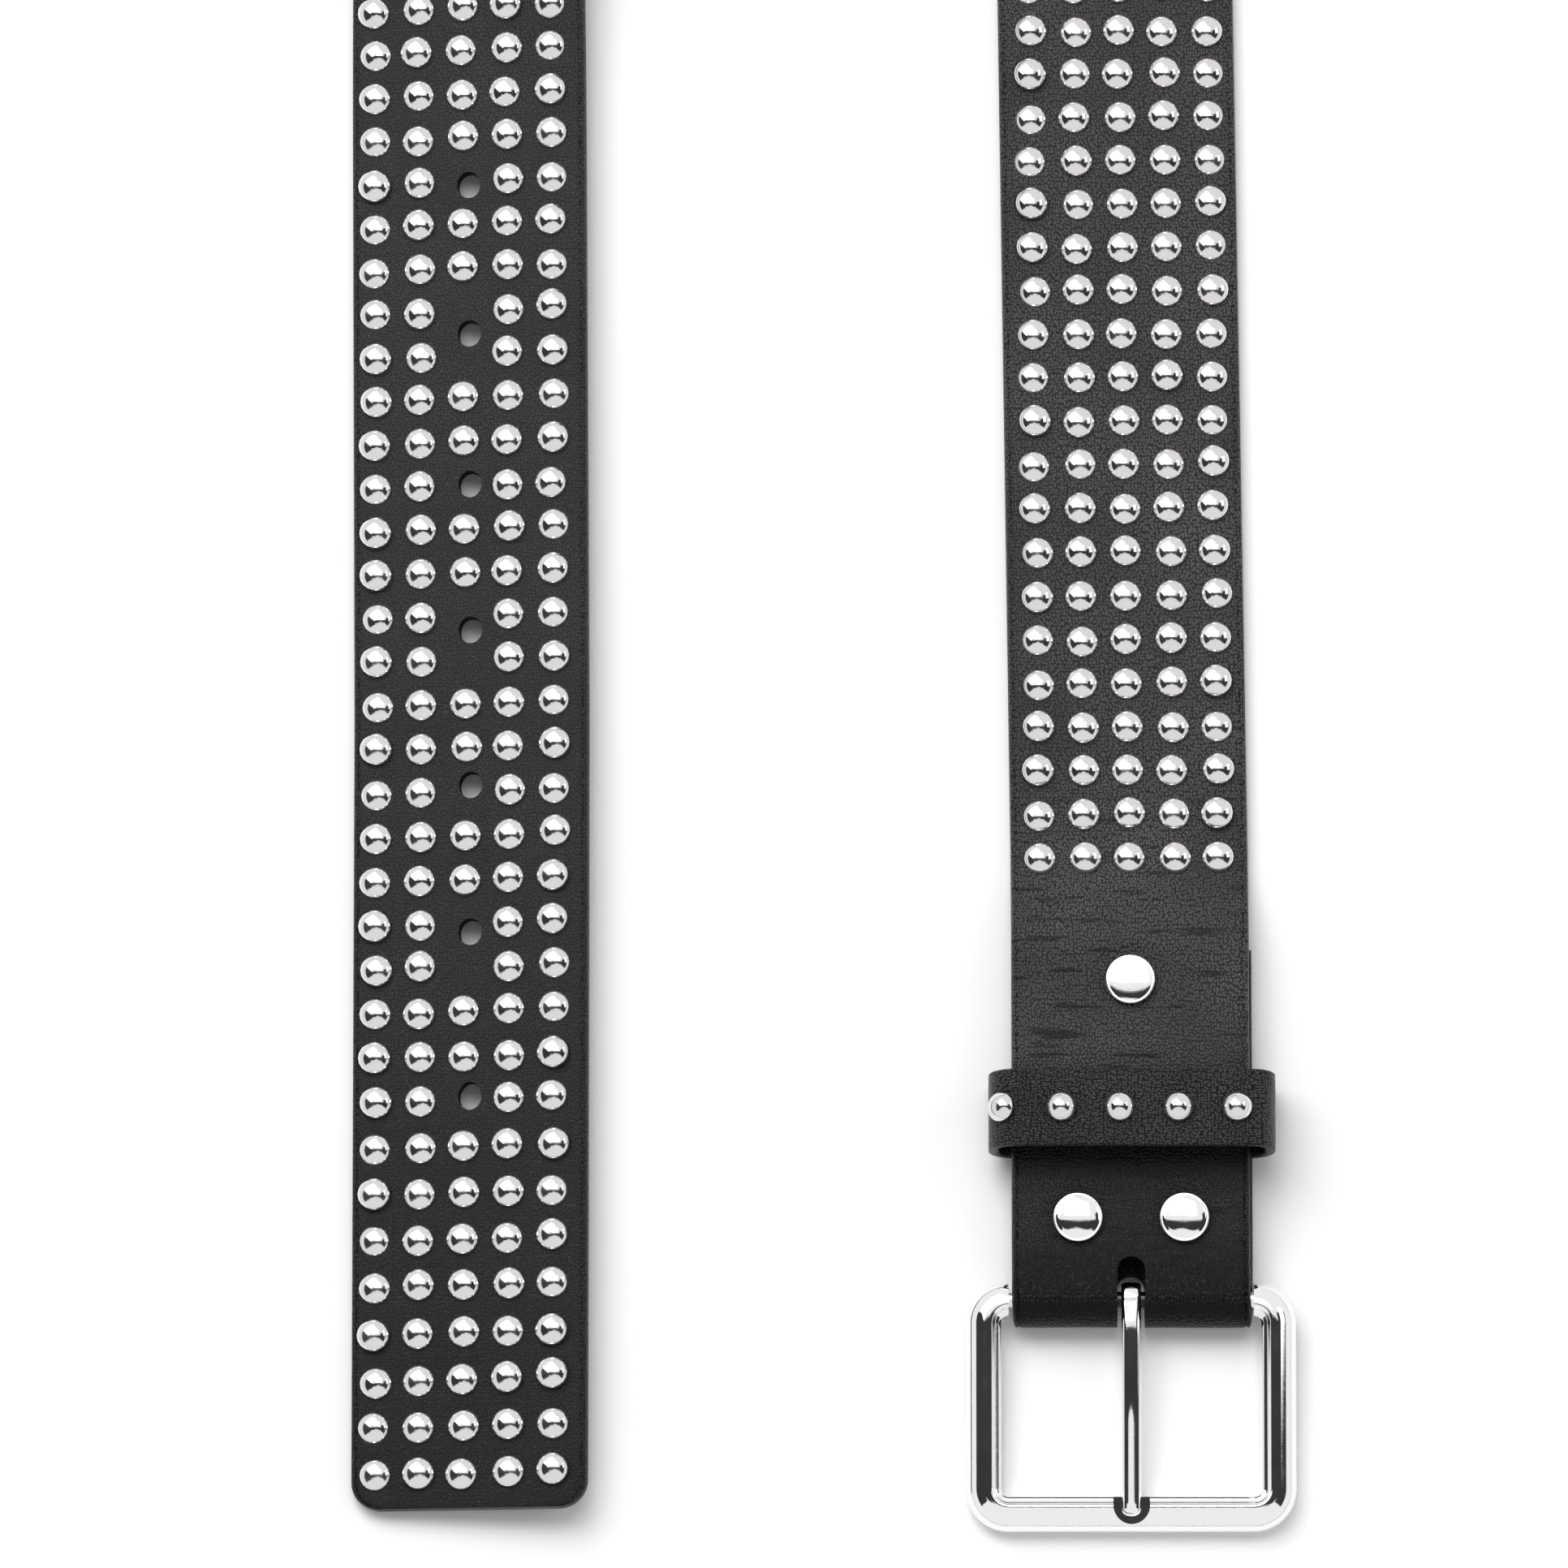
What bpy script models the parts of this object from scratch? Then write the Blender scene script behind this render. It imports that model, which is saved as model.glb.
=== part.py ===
"""A studded leather belt lying on a surface with its face up, both ends side by side.

Metres, +Z up, the surface at z = 0. The buckle end is on the +X side and the punched
end, the tail, on the -X side; both run along +Y and join in a loop that stands on its edge.
Plan positions are measured from the middle of the heel bar's line, at y = 0.
"""

from math import asin, atan2, ceil, cos, hypot, pi, radians, sin, sqrt, tan

import bmesh
import bpy
from mathutils import Vector

# Clearances and curves
SEAT_GAP = 0.0003  # between pieces that touch
WELD = 0.00001  # points closer than this are one

# Strap
STRAP_WIDTH = 0.0403
STRAP_THICK = 0.0030
STRAP_EDGE = 0.0005  # chamfer of the cut edges
TIP_RADIUS = 0.0047  # the two corners of the tail's end
TAIL_OVERHANG = 0.0355  # the tail's end reaches this far past the heel bar's line
FOLD_BACK = 0.060  # length of the layer folded back under the buckle end
FOLD_STEP = 0.016  # length over which the upper layer comes down past that layer's end
FOLD_SKEW = 0.0005  # the folded layer lies this far to +X of the upper one
FOLD_STEPS = 12  # round the heel bar

# How the strap lies: two legs and a standing loop
LEG_LENGTH = 0.410  # from the heel bar's line to the middle of the loop
BUCKLE_LEG_X = 0.0586
TAIL_LEG_X = -0.0530
BUCKLE_LEAN = radians(0.73)  # both legs lean a little to -X on their way out
TAIL_LEAN = radians(0.40)
TAIL_STRAIGHT = 0.100  # the tail's lean starts here
BUCKLE_TURNING = 0.180  # length over which a leg turns from lying to standing
TAIL_TURNING = 0.220
TAIL_ROLL = radians(7.0)  # the tail lies on its outer edge at this angle
FLAT_STEP = 0.020  # distance between the strap's sections where it is straight
TURNING_STEP = 0.008  # and where it turns

# Belt holes, counted from the tail's end
HOLE_WIDTH = 0.0040
HOLE_LENGTH = 0.0046
HOLE_FIRST = 0.0702
HOLE_PITCH = 0.02625
HOLE_DRIFTS = (0.0, 0.0020, 0.0010, 0.0015, 0.0005, 0.0004, 0.0)  # punched by eye

# Rivets that close the fold
RIVET_CAP_RADIUS = 0.0042
RIVET_CAP_HIGH = 0.0013
RIVET_SHOULDER = 0.0007  # radius of the cap's rounded shoulder
RIVET_POST_RADIUS = 0.0014
RIVET_BACK_THICK = 0.0010
RIVET_PAIR_Y = 0.0136
RIVET_PAIR_APART = 0.0180
RIVET_SINGLE_Y = 0.0543

# Keeper and its studs
KEEPER_WIDTH = 0.0132
KEEPER_THICK = 0.0018
KEEPER_SLACK = 0.0023  # between the strap's edges and the keeper's inner sides
KEEPER_CORNER = 0.0043  # its corners are quarter ellipses, this wide
KEEPER_SIDE = 0.0060  # and this high
KEEPER_ROOM = 0.0050  # free height over the doubled strap
KEEPER_Y = 0.0314
KEEPER_SHIFT = 0.0002  # it sits this far to +X of the strap's middle
KEEPER_EDGE = 0.0003
STUD_RADIUS = 0.0025
STUD_HIGH = 0.0019
STUD_RIM = 0.0004
KEEPER_STUDS = 5
KEEPER_STUD_PITCH = 0.0099
KEEPER_STUD_SHIFT = -0.0020  # the row sits to -X of the strap's middle

# Heel bar and tongue slot
HEEL_RADIUS = 0.0014
HEEL_SEAT = 0.0020  # depth of the bar's ends in the frame
SLOT_WIDTH = 0.0047
SLOT_END_Y = 0.0070  # in the layer on top
SLOT_UNDER_END_Y = 0.0045  # in the layer underneath

# Buckle frame
THROAT_GAP = 0.0018  # between the strap's edges and the frame's ears
FRAME_BAR = 0.0059  # width of the bars, seen from above
FRAME_THICK = 0.0056
FRAME_REACH = 0.0363  # from the heel bar to the middle of the front bar
FRAME_EAR_Y = -0.0009  # the ears' middle, from the heel bar
FRAME_CORNER = 0.0042  # radius of the bars' middle line
THROAT_Y = 0.012  # the throat is cut this far to both sides of the heel bar
NOTCH_RADIUS = 0.0031
NOTCH_Y = -0.0350
NOTCH_FLOOR = 0.0004  # over the bars' middle

# The bars' section as shares of their width (inner side -, outer side +) and thickness (up +)
SOLE_SHARE = 0.27  # where the outer side meets the flat underneath
FRAME_SECTION = (
    (SOLE_SHARE, -0.50),
    (0.44, -0.36),
    (0.50, -0.12),
    (0.50, 0.08),
    (0.44, 0.28),
    (0.33, 0.40),
    (0.17, 0.475),
    (0.00, 0.50),
    (-0.15, 0.475),
    (-0.25, 0.42),
    (-0.29, 0.30),
    (-0.42, 0.27),
    (-0.50, 0.15),
    (-0.50, -0.38),
    (-0.42, -0.50),
)

# Tongue
TONGUE_WIDTH = 0.0033
TONGUE_THICK = 0.0023
TONGUE_EYE_RADIUS = 0.0030
TONGUE_END_Y = -0.0365
TONGUE_EDGE = 0.0006
TONGUE_ARCH = 0.0006

# Worked out from the sizes above
FOLD_INNER = HEEL_RADIUS + SEAT_GAP
FOLD_OUTER = FOLD_INNER + STRAP_THICK
FOLD_MIDDLE = FOLD_INNER + STRAP_THICK / 2
HEEL_Z = FOLD_OUTER
RIVET_SEAT = RIVET_BACK_THICK + SEAT_GAP  # the strap's underside at the rivets
KEEPER_SEAT = KEEPER_THICK + SEAT_GAP  # and at the keeper
LAYER_STEP = STRAP_THICK + SEAT_GAP
KEEPER_HIGH = 2 * KEEPER_THICK + SEAT_GAP + STRAP_THICK + LAYER_STEP + KEEPER_ROOM
KEEPER_LOW_Y = KEEPER_Y - KEEPER_WIDTH / 2
KEEPER_HIGH_Y = KEEPER_Y + KEEPER_WIDTH / 2
PAIR_LOW_Y = RIVET_PAIR_Y - RIVET_CAP_RADIUS
PAIR_HIGH_Y = RIVET_PAIR_Y + RIVET_CAP_RADIUS
SINGLE_LOW_Y = RIVET_SINGLE_Y - RIVET_CAP_RADIUS
HALF_WIDTH = STRAP_WIDTH / 2
KEEPER_OUTER = STRAP_WIDTH + 2 * (KEEPER_SLACK + KEEPER_THICK)
FRAME_INSIDE = STRAP_WIDTH + 2 * THROAT_GAP
FRAME_SIDE_X = (FRAME_INSIDE + FRAME_BAR) / 2


def clear_scene():
    for obj in list(bpy.data.objects):
        bpy.data.objects.remove(obj, do_unlink=True)


def new_collection(name):
    made = bpy.data.collections.new(name)
    bpy.context.scene.collection.children.link(made)
    return made


def principled(name, colour, metallic, roughness):
    made = bpy.data.materials.new(name)
    made.use_nodes = True
    shader = made.node_tree.nodes["Principled BSDF"]
    shader.inputs["Base Color"].default_value = (*colour, 1)
    shader.inputs["Metallic"].default_value = metallic
    shader.inputs["Roughness"].default_value = roughness
    made.diffuse_color = (*colour, 1)
    return made


def add(name, data, collection, material=None, parent=None, location=(0, 0, 0), rotation=(0, 0, 0)):
    obj = bpy.data.objects.new(name, data)
    collection.objects.link(obj)
    obj.location = location
    obj.rotation_euler = rotation
    obj.parent = parent
    if material:
        data.materials.append(material)
    return obj


def add_cutter(name, data, location=(0, 0, 0), parent=None):
    obj = add(name, data, CUTTERS, location=location, parent=parent)
    obj.hide_render = True
    obj.display_type = "WIRE"
    return obj


def cut(obj, cutters):
    for cutter in cutters:
        boolean = obj.modifiers.new(cutter.name, "BOOLEAN")
        boolean.operation = "DIFFERENCE"
        boolean.object = cutter


def smooth(obj, angle):
    obj.data.shade_smooth()
    obj.data.set_sharp_from_angle(angle=angle)


def between(start, end, step):
    """Evenly spread numbers from start to end, at most a step apart, without the last."""
    count = max(1, ceil(abs(end - start) / step - 1e-6))
    return [start + (end - start) * i / count for i in range(count)]


def ease(value, start, end):
    """0 before start and 1 after end, with level ends and a smooth rise between."""
    share = min(max((value - start) / (end - start), 0.0), 1.0)
    return share * share * (3 - 2 * share)


def slow_ease(value, start, end):
    """As ease, with the change of slope level at the ends too."""
    share = min(max((value - start) / (end - start), 0.0), 1.0)
    return share ** 3 * (10 - 15 * share + 6 * share * share)


def arc(centre, radius, first, last, steps):
    """Points on a circle in a plane, from one angle to another, both ends included."""
    angles = [first + (last - first) * i / steps for i in range(steps + 1)]
    return [(centre[0] + radius * cos(a), centre[1] + radius * sin(a)) for a in angles]


def prism(outline, low, high):
    """Mesh of a flat outline, counterclockwise from above, raised from one height to another."""
    shape = bmesh.new()
    rim = [shape.verts.new((x, y, low)) for x, y in outline]
    base = shape.faces.new(rim)
    raised = bmesh.ops.extrude_face_region(shape, geom=[base])["geom"]
    tops = [item for item in raised if isinstance(item, bmesh.types.BMVert)]
    bmesh.ops.translate(shape, verts=tops, vec=(0, 0, high - low))
    bmesh.ops.recalc_face_normals(shape, faces=shape.faces)
    mesh = bpy.data.meshes.new("prism")
    shape.to_mesh(mesh)
    shape.free()
    return mesh


def profile_mesh(name, profile):
    """A line of (radius, height) points, from top to bottom, for a Screw modifier to turn."""
    mesh = bpy.data.meshes.new(name)
    points = [(r, 0, z) for r, z in profile]
    mesh.from_pydata(points, [(i, i + 1) for i in range(len(points) - 1)], [])
    return mesh


def turn(obj, sides):
    screw = obj.modifiers.new("turn", "SCREW")
    screw.steps = sides
    screw.render_steps = sides
    screw.use_merge_vertices = True
    screw.merge_threshold = WELD
    screw.use_smooth_shade = True


def as_mesh(obj):
    """The curve object made a mesh object of the same name and place, with its caps welded."""
    bpy.context.view_layer.update()
    graph = bpy.context.evaluated_depsgraph_get()
    mesh = bpy.data.meshes.new_from_object(obj.evaluated_get(graph))
    shape = bmesh.new()
    shape.from_mesh(mesh)
    bmesh.ops.remove_doubles(shape, verts=shape.verts, dist=WELD)
    bmesh.ops.recalc_face_normals(shape, faces=shape.faces)
    shape.to_mesh(mesh)
    shape.free()
    name = obj.name
    collection = obj.users_collection[0]
    parent = obj.parent
    place = obj.matrix_local.copy()
    bpy.data.objects.remove(obj, do_unlink=True)
    made = bpy.data.objects.new(name, mesh)
    collection.objects.link(made)
    made.parent = parent
    made.matrix_local = place
    return made


# Where the strap lies


def lower_height(y):
    """Height of the strap's underside over the surface, along the folded end."""
    to_rivets = RIVET_SEAT * ease(y, 0, PAIR_LOW_Y)
    up = ease(y, PAIR_HIGH_Y, KEEPER_LOW_Y)
    down = ease(y, KEEPER_HIGH_Y, SINGLE_LOW_Y)
    return to_rivets + (KEEPER_SEAT - RIVET_SEAT) * (up - down)


def upper_middle(y):
    """Height of the upper layer's middle: over the bar, down on the lower layer, then down again."""
    doubled = lower_height(y) + LAYER_STEP + STRAP_THICK / 2
    over_bar = HEEL_Z + FOLD_MIDDLE - LAYER_STEP - STRAP_THICK / 2
    over_bar *= 1 - ease(y, 0, PAIR_LOW_Y)
    down = (RIVET_SEAT + LAYER_STEP) * ease(y, FOLD_BACK, FOLD_BACK + FOLD_STEP)
    return doubled + over_bar - down


def folded_stations():
    """(middle, sideways direction) along the layer underneath, round the bar and out on top."""
    marks = between(0, PAIR_LOW_Y, 0.002) + [PAIR_LOW_Y]
    marks += between(PAIR_HIGH_Y, KEEPER_LOW_Y, 0.0013) + [KEEPER_LOW_Y]
    marks += between(KEEPER_HIGH_Y, SINGLE_LOW_Y, 0.003) + [SINGLE_LOW_Y]
    lower = [(FOLD_SKEW, y, lower_height(y) + STRAP_THICK / 2) for y in marks + [FOLD_BACK]]
    upper_marks = marks + between(FOLD_BACK, FOLD_BACK + FOLD_STEP, 0.0018)
    upper = [(0, y, upper_middle(y)) for y in upper_marks]
    round_bar = arc((0, HEEL_Z), FOLD_MIDDLE, 1.5 * pi, 0.5 * pi, FOLD_STEPS)
    bend = [(FOLD_SKEW * (1 - i / FOLD_STEPS), y, z) for i, (y, z) in enumerate(round_bar)][1:-1]
    line = lower[::-1] + bend + upper
    return [(Vector((BUCKLE_LEG_X + x, y, z)), Vector((1, 0, 0)), HALF_WIDTH) for x, y, z in line]


def station(x, y, heading, roll, half=HALF_WIDTH):
    """A place of the open strap: heading turns from +Y towards -X, roll lowers the outer edge."""
    outward = Vector((cos(heading), sin(heading), 0))
    sideways = outward * cos(roll) - Vector((0, 0, sin(roll)))
    height = HALF_WIDTH * sin(roll) + STRAP_THICK / 2 * cos(roll)
    return Vector((x, y, height)), sideways, half


def buckle_leg_x(y):
    return BUCKLE_LEG_X - tan(BUCKLE_LEAN) * max(0, y - FOLD_BACK - FOLD_STEP)


def tail_leg_x(y):
    return TAIL_LEG_X - tan(TAIL_LEAN) * max(0, y - TAIL_STRAIGHT)


def tail_roll(y):
    return TAIL_ROLL + (pi / 2 - TAIL_ROLL) * slow_ease(y, LEG_LENGTH - TAIL_TURNING, LEG_LENGTH)


def tip_half_width(y):
    """Half the width near the tail's end, which has two round corners."""
    inside = y + TAIL_OVERHANG
    if inside >= TIP_RADIUS:
        return HALF_WIDTH
    return HALF_WIDTH - TIP_RADIUS + sqrt(TIP_RADIUS ** 2 - (TIP_RADIUS - inside) ** 2)


def open_stations():
    """The strap from the fold to the tail's end: a leg, the standing loop and the other leg."""
    right = buckle_leg_x(LEG_LENGTH)
    left = tail_leg_x(LEG_LENGTH)
    share = cos(BUCKLE_LEAN) / (cos(BUCKLE_LEAN) + cos(TAIL_LEAN))
    loop_x = left + (right - left) * share
    loop_radius = (right - loop_x) * cos(BUCKLE_LEAN)
    leave = LEG_LENGTH + loop_radius * sin(BUCKLE_LEAN)
    meet = LEG_LENGTH + loop_radius * sin(TAIL_LEAN)
    twist_start = LEG_LENGTH - BUCKLE_TURNING
    found = []
    out = between(FOLD_BACK + FOLD_STEP, twist_start, FLAT_STEP)
    out += between(twist_start, leave, TURNING_STEP)
    for y in out:
        roll = pi / 2 * slow_ease(y, twist_start, leave)
        found.append(station(buckle_leg_x(y), y, BUCKLE_LEAN, roll))
    for heading in between(BUCKLE_LEAN, pi + TAIL_LEAN, radians(7.5)):
        x = loop_x + loop_radius * cos(heading)
        y = LEG_LENGTH + loop_radius * sin(heading)
        found.append(station(x, y, heading, pi / 2))
    back = between(meet, LEG_LENGTH - TAIL_TURNING, TURNING_STEP)
    back += between(LEG_LENGTH - TAIL_TURNING, TAIL_STRAIGHT, FLAT_STEP)
    back += between(TAIL_STRAIGHT, TIP_RADIUS - TAIL_OVERHANG, FLAT_STEP)
    corner = arc((0, TIP_RADIUS - TAIL_OVERHANG), TIP_RADIUS, 0, -pi / 2, 6)
    back += [y for _, y in corner]
    for y in back:
        lean = TAIL_LEAN if y > TAIL_STRAIGHT else 0
        found.append(station(tail_leg_x(y), y, pi + lean, tail_roll(y), tip_half_width(y)))
    return found


def make_strap():
    """An open ribbon given its thickness, with chamfered edges, then punched and slotted."""
    rows = folded_stations() + open_stations()
    points = []
    for middle, sideways, half in rows:
        points += [middle - sideways * half, middle + sideways * half]
    faces = [(i, i + 1, i + 3, i + 2) for i in range(0, len(points) - 2, 2)]
    mesh = bpy.data.meshes.new("strap")
    mesh.from_pydata(points, [], faces)
    strap = add("strap", mesh, PARTS, LEATHER, BELT)
    solidify = strap.modifiers.new("thickness", "SOLIDIFY")
    solidify.thickness = STRAP_THICK
    solidify.offset = 0
    solidify.use_even_offset = True
    bevel = strap.modifiers.new("edges", "BEVEL")
    bevel.width = STRAP_EDGE
    bevel.segments = 1
    bevel.limit_method = "ANGLE"
    bevel.angle_limit = radians(60)
    cut(strap, belt_hole_cutters() + rivet_bore_cutters() + slot_cutters())
    smooth(strap, radians(35))
    return strap


def belt_hole_cutters():
    """One oval punch for each belt hole, square to the tail's face."""
    found = []
    for i, drift in enumerate(HOLE_DRIFTS):
        y = HOLE_FIRST - TAIL_OVERHANG + HOLE_PITCH * i + drift
        circle = arc((0, 0), 1, 0, 2 * pi, 14)[:-1]
        oval = [(across * HOLE_WIDTH / 2, along * HOLE_LENGTH / 2) for across, along in circle]
        middle, _, _ = station(tail_leg_x(y), y, pi, tail_roll(y))
        mesh = prism(oval, -2 * STRAP_THICK, 2 * STRAP_THICK)
        punch = add_cutter(f"belt_hole_{i + 1}", mesh, middle, BELT)
        punch.rotation_euler = (0, -tail_roll(y), 0)
        found.append(punch)
    return found


def rivet_places():
    """(name, x, y) of the three rivets."""
    half = RIVET_PAIR_APART / 2
    return [
        ("rivet_left", BUCKLE_LEG_X - half, RIVET_PAIR_Y),
        ("rivet_right", BUCKLE_LEG_X + half, RIVET_PAIR_Y),
        ("rivet_single", BUCKLE_LEG_X, RIVET_SINGLE_Y),
    ]


def rivet_bore_cutters():
    circle = arc((0, 0), RIVET_POST_RADIUS + SEAT_GAP, 0, 2 * pi, 12)[:-1]
    high = 2 * FOLD_OUTER + STRAP_THICK
    return [
        add_cutter(name + "_bore", prism(circle, -STRAP_THICK, high), (x, y, 0), BELT)
        for name, x, y in rivet_places()
    ]


def slot_cutters():
    """The slot that lets the tongue out of the fold: round at its ends, longer in the layer on top."""
    half = SLOT_WIDTH / 2
    found = []
    for name, end, low in (("slot_top", SLOT_END_Y, HEEL_Z), ("slot_under", SLOT_UNDER_END_Y, -STRAP_THICK)):
        outline = arc((0, end - half), half, 0, pi, 10)
        outline += [(-half, -2 * FOLD_OUTER), (half, -2 * FOLD_OUTER)]
        mesh = prism(outline, low, 2 * FOLD_OUTER + STRAP_THICK)
        found.append(add_cutter(name, mesh, (BUCKLE_LEG_X, 0, 0), BELT))
    return found


def make_rivets():
    """Turned rivets: a low cap on top, a post through both layers and a flat back."""
    cap_low = RIVET_SEAT + 2 * LAYER_STEP
    cap_top = cap_low + RIVET_CAP_HIGH
    profile = [(0, cap_top)]
    profile += [
        (RIVET_CAP_RADIUS - RIVET_SHOULDER * (1 - r), cap_top - RIVET_SHOULDER * (1 - z))
        for r, z in arc((0, 0), 1, radians(78), 0, 4)
    ]
    profile += [
        (RIVET_CAP_RADIUS, cap_low),
        (RIVET_POST_RADIUS, cap_low),
        (RIVET_POST_RADIUS, RIVET_BACK_THICK),
        (RIVET_CAP_RADIUS, RIVET_BACK_THICK),
        (RIVET_CAP_RADIUS, 0),
        (0, 0),
    ]
    for name, x, y in rivet_places():
        rivet = add(name, profile_mesh(name, profile), PARTS, CHROME, BELT, (x, y, 0))
        turn(rivet, 20)


def keeper_outline(inset):
    """Counterclockwise outline of the band, its corners quarter ellipses, moved in by the inset."""
    across = KEEPER_CORNER - inset
    high = KEEPER_SIDE - inset
    flat = KEEPER_OUTER / 2 - KEEPER_CORNER
    low_z = KEEPER_SIDE
    top_z = KEEPER_HIGH - KEEPER_SIDE
    corners = ((flat, low_z, -pi / 2), (flat, top_z, 0), (-flat, top_z, pi / 2), (-flat, low_z, pi))
    points = []
    for x, z, first in corners:
        for c, s in arc((0, 0), 1, first, first + pi / 2, 7):
            points.append((x + across * c, z + high * s))
    return points


def make_keeper():
    """A closed leather band round both layers, with room above for the tail."""
    curve = bpy.data.curves.new("keeper", "CURVE")
    curve.dimensions = "2D"
    curve.fill_mode = "BOTH"
    curve.extrude = KEEPER_WIDTH / 2
    for outline in (keeper_outline(0), keeper_outline(KEEPER_THICK)):
        spline = curve.splines.new("POLY")
        spline.points.add(len(outline) - 1)
        spline.use_cyclic_u = True
        for point, (x, z) in zip(spline.points, outline):
            point.co = (x, z, 0, 1)
    place = (BUCKLE_LEG_X + KEEPER_SHIFT, KEEPER_Y, 0)
    keeper = add("keeper", curve, PARTS, LEATHER, BELT, place, (pi / 2, 0, 0))
    weld = keeper.modifiers.new("weld", "WELD")
    weld.merge_threshold = WELD
    bevel = keeper.modifiers.new("edges", "BEVEL")
    bevel.width = KEEPER_EDGE
    bevel.segments = 1
    bevel.limit_method = "ANGLE"
    bevel.angle_limit = radians(60)
    return keeper


def keeper_seat(x):
    """(x, z, tilt) on the keeper's outer face, over a distance from the keeper's middle."""
    past = abs(x) - (KEEPER_OUTER / 2 - KEEPER_CORNER)
    if past <= 0:
        return x, KEEPER_HIGH, 0
    turn_in = asin(past / KEEPER_CORNER)
    tilt = atan2(sin(turn_in) / KEEPER_CORNER, cos(turn_in) / KEEPER_SIDE)
    return x, KEEPER_HIGH - KEEPER_SIDE * (1 - cos(turn_in)), tilt if x > 0 else -tilt


def make_keeper_studs():
    """Turned domes with a short upright rim, each square to the keeper's face."""
    dome = arc((0, 0), 1, pi / 2, 0, 5)
    profile = [(STUD_RADIUS * r, STUD_RIM + (STUD_HIGH - STUD_RIM) * z) for r, z in dome]
    profile += [(STUD_RADIUS, 0), (0, 0)]
    for i in range(KEEPER_STUDS):
        along = KEEPER_STUD_SHIFT - KEEPER_SHIFT + KEEPER_STUD_PITCH * (i - (KEEPER_STUDS - 1) / 2)
        x, z, tilt = keeper_seat(along)
        x += BUCKLE_LEG_X + KEEPER_SHIFT + SEAT_GAP * sin(tilt)
        z += SEAT_GAP * cos(tilt)
        name = f"keeper_stud_{i + 1}"
        mesh = profile_mesh(name, profile)
        stud = add(name, mesh, PARTS, CHROME, BELT, (x, KEEPER_Y, z), (0, tilt, 0))
        turn(stud, 16)


# Buckle


def frame_tilt():
    """How far the frame slopes down from the heel bar so that its front bar rests."""
    reach = FRAME_REACH + FRAME_BAR * SOLE_SHARE
    drop = FRAME_THICK / 2
    return asin(HEEL_Z / hypot(reach, drop)) - atan2(drop, reach)


def make_frame(hinge):
    """One profiled bar bent to a rounded square, cut for the strap, the bar's ends and the tongue."""
    section = bpy.data.curves.new("frame_section", "CURVE")
    section.dimensions = "2D"
    outline = section.splines.new("POLY")
    outline.points.add(len(FRAME_SECTION) - 1)
    outline.use_cyclic_u = True
    for point, (across, up) in zip(outline.points, FRAME_SECTION):
        point.co = (across * FRAME_BAR, up * FRAME_THICK, 0, 1)
    guide = add("frame_section", section, CUTTERS)
    guide.hide_render = True

    side = FRAME_SIDE_X - FRAME_CORNER
    front = FRAME_CORNER - FRAME_REACH
    back = FRAME_EAR_Y - FRAME_CORNER
    line = arc((-side, back), FRAME_CORNER, pi / 2, pi, 8)
    line += arc((-side, front), FRAME_CORNER, pi, 1.5 * pi, 8)
    line += arc((side, front), FRAME_CORNER, 1.5 * pi, 2 * pi, 8)
    line += arc((side, back), FRAME_CORNER, 0, pi / 2, 8)
    curve = bpy.data.curves.new("buckle_frame", "CURVE")
    curve.dimensions = "3D"
    curve.twist_mode = "Z_UP"
    curve.bevel_mode = "OBJECT"
    curve.bevel_object = guide
    curve.use_fill_caps = True
    spline = curve.splines.new("POLY")
    spline.points.add(len(line) - 1)
    for point, (x, y) in zip(spline.points, line):
        point.co = (x, y, 0, 1)
    frame = as_mesh(add("buckle_frame", curve, PARTS, CHROME, hinge))
    bpy.data.objects.remove(guide, do_unlink=True)

    throat = FRAME_INSIDE / 2
    high = 2 * FRAME_THICK
    across = ((-throat, -THROAT_Y), (throat, -THROAT_Y), (throat, THROAT_Y), (-throat, THROAT_Y))
    ears = prism(across, -high, high)
    notch = arc((0, NOTCH_Y), NOTCH_RADIUS, pi, 2 * pi, 12)
    notch += [(NOTCH_RADIUS, NOTCH_Y + FRAME_BAR), (-NOTCH_RADIUS, NOTCH_Y + FRAME_BAR)]
    seat = arc((0, 0), HEEL_RADIUS + SEAT_GAP, 0, 2 * pi, 16)[:-1]
    seat_half = throat + HEEL_SEAT + SEAT_GAP
    cutters = [
        add_cutter("frame_throat", ears, parent=hinge),
        add_cutter("frame_notch", prism(notch, NOTCH_FLOOR, high), parent=hinge),
        add_cutter("heel_bar_seat", prism(seat, -seat_half, seat_half), parent=hinge),
    ]
    cutters[2].rotation_euler = (0, pi / 2, 0)
    cut(frame, cutters)
    smooth(frame, radians(40))
    return frame


def make_heel_bar(hinge):
    """The thin pin that the strap folds round, its ends held in the frame."""
    bpy.ops.mesh.primitive_cylinder_add(
        vertices=16, radius=HEEL_RADIUS, depth=FRAME_INSIDE + 2 * HEEL_SEAT, rotation=(0, pi / 2, 0)
    )
    bar = bpy.context.active_object
    bar.name = "heel_bar"
    bar.data.materials.append(CHROME)
    for collection in list(bar.users_collection):
        collection.objects.unlink(bar)
    PARTS.objects.link(bar)
    bar.parent = hinge
    smooth(bar, radians(40))
    return bar


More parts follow.
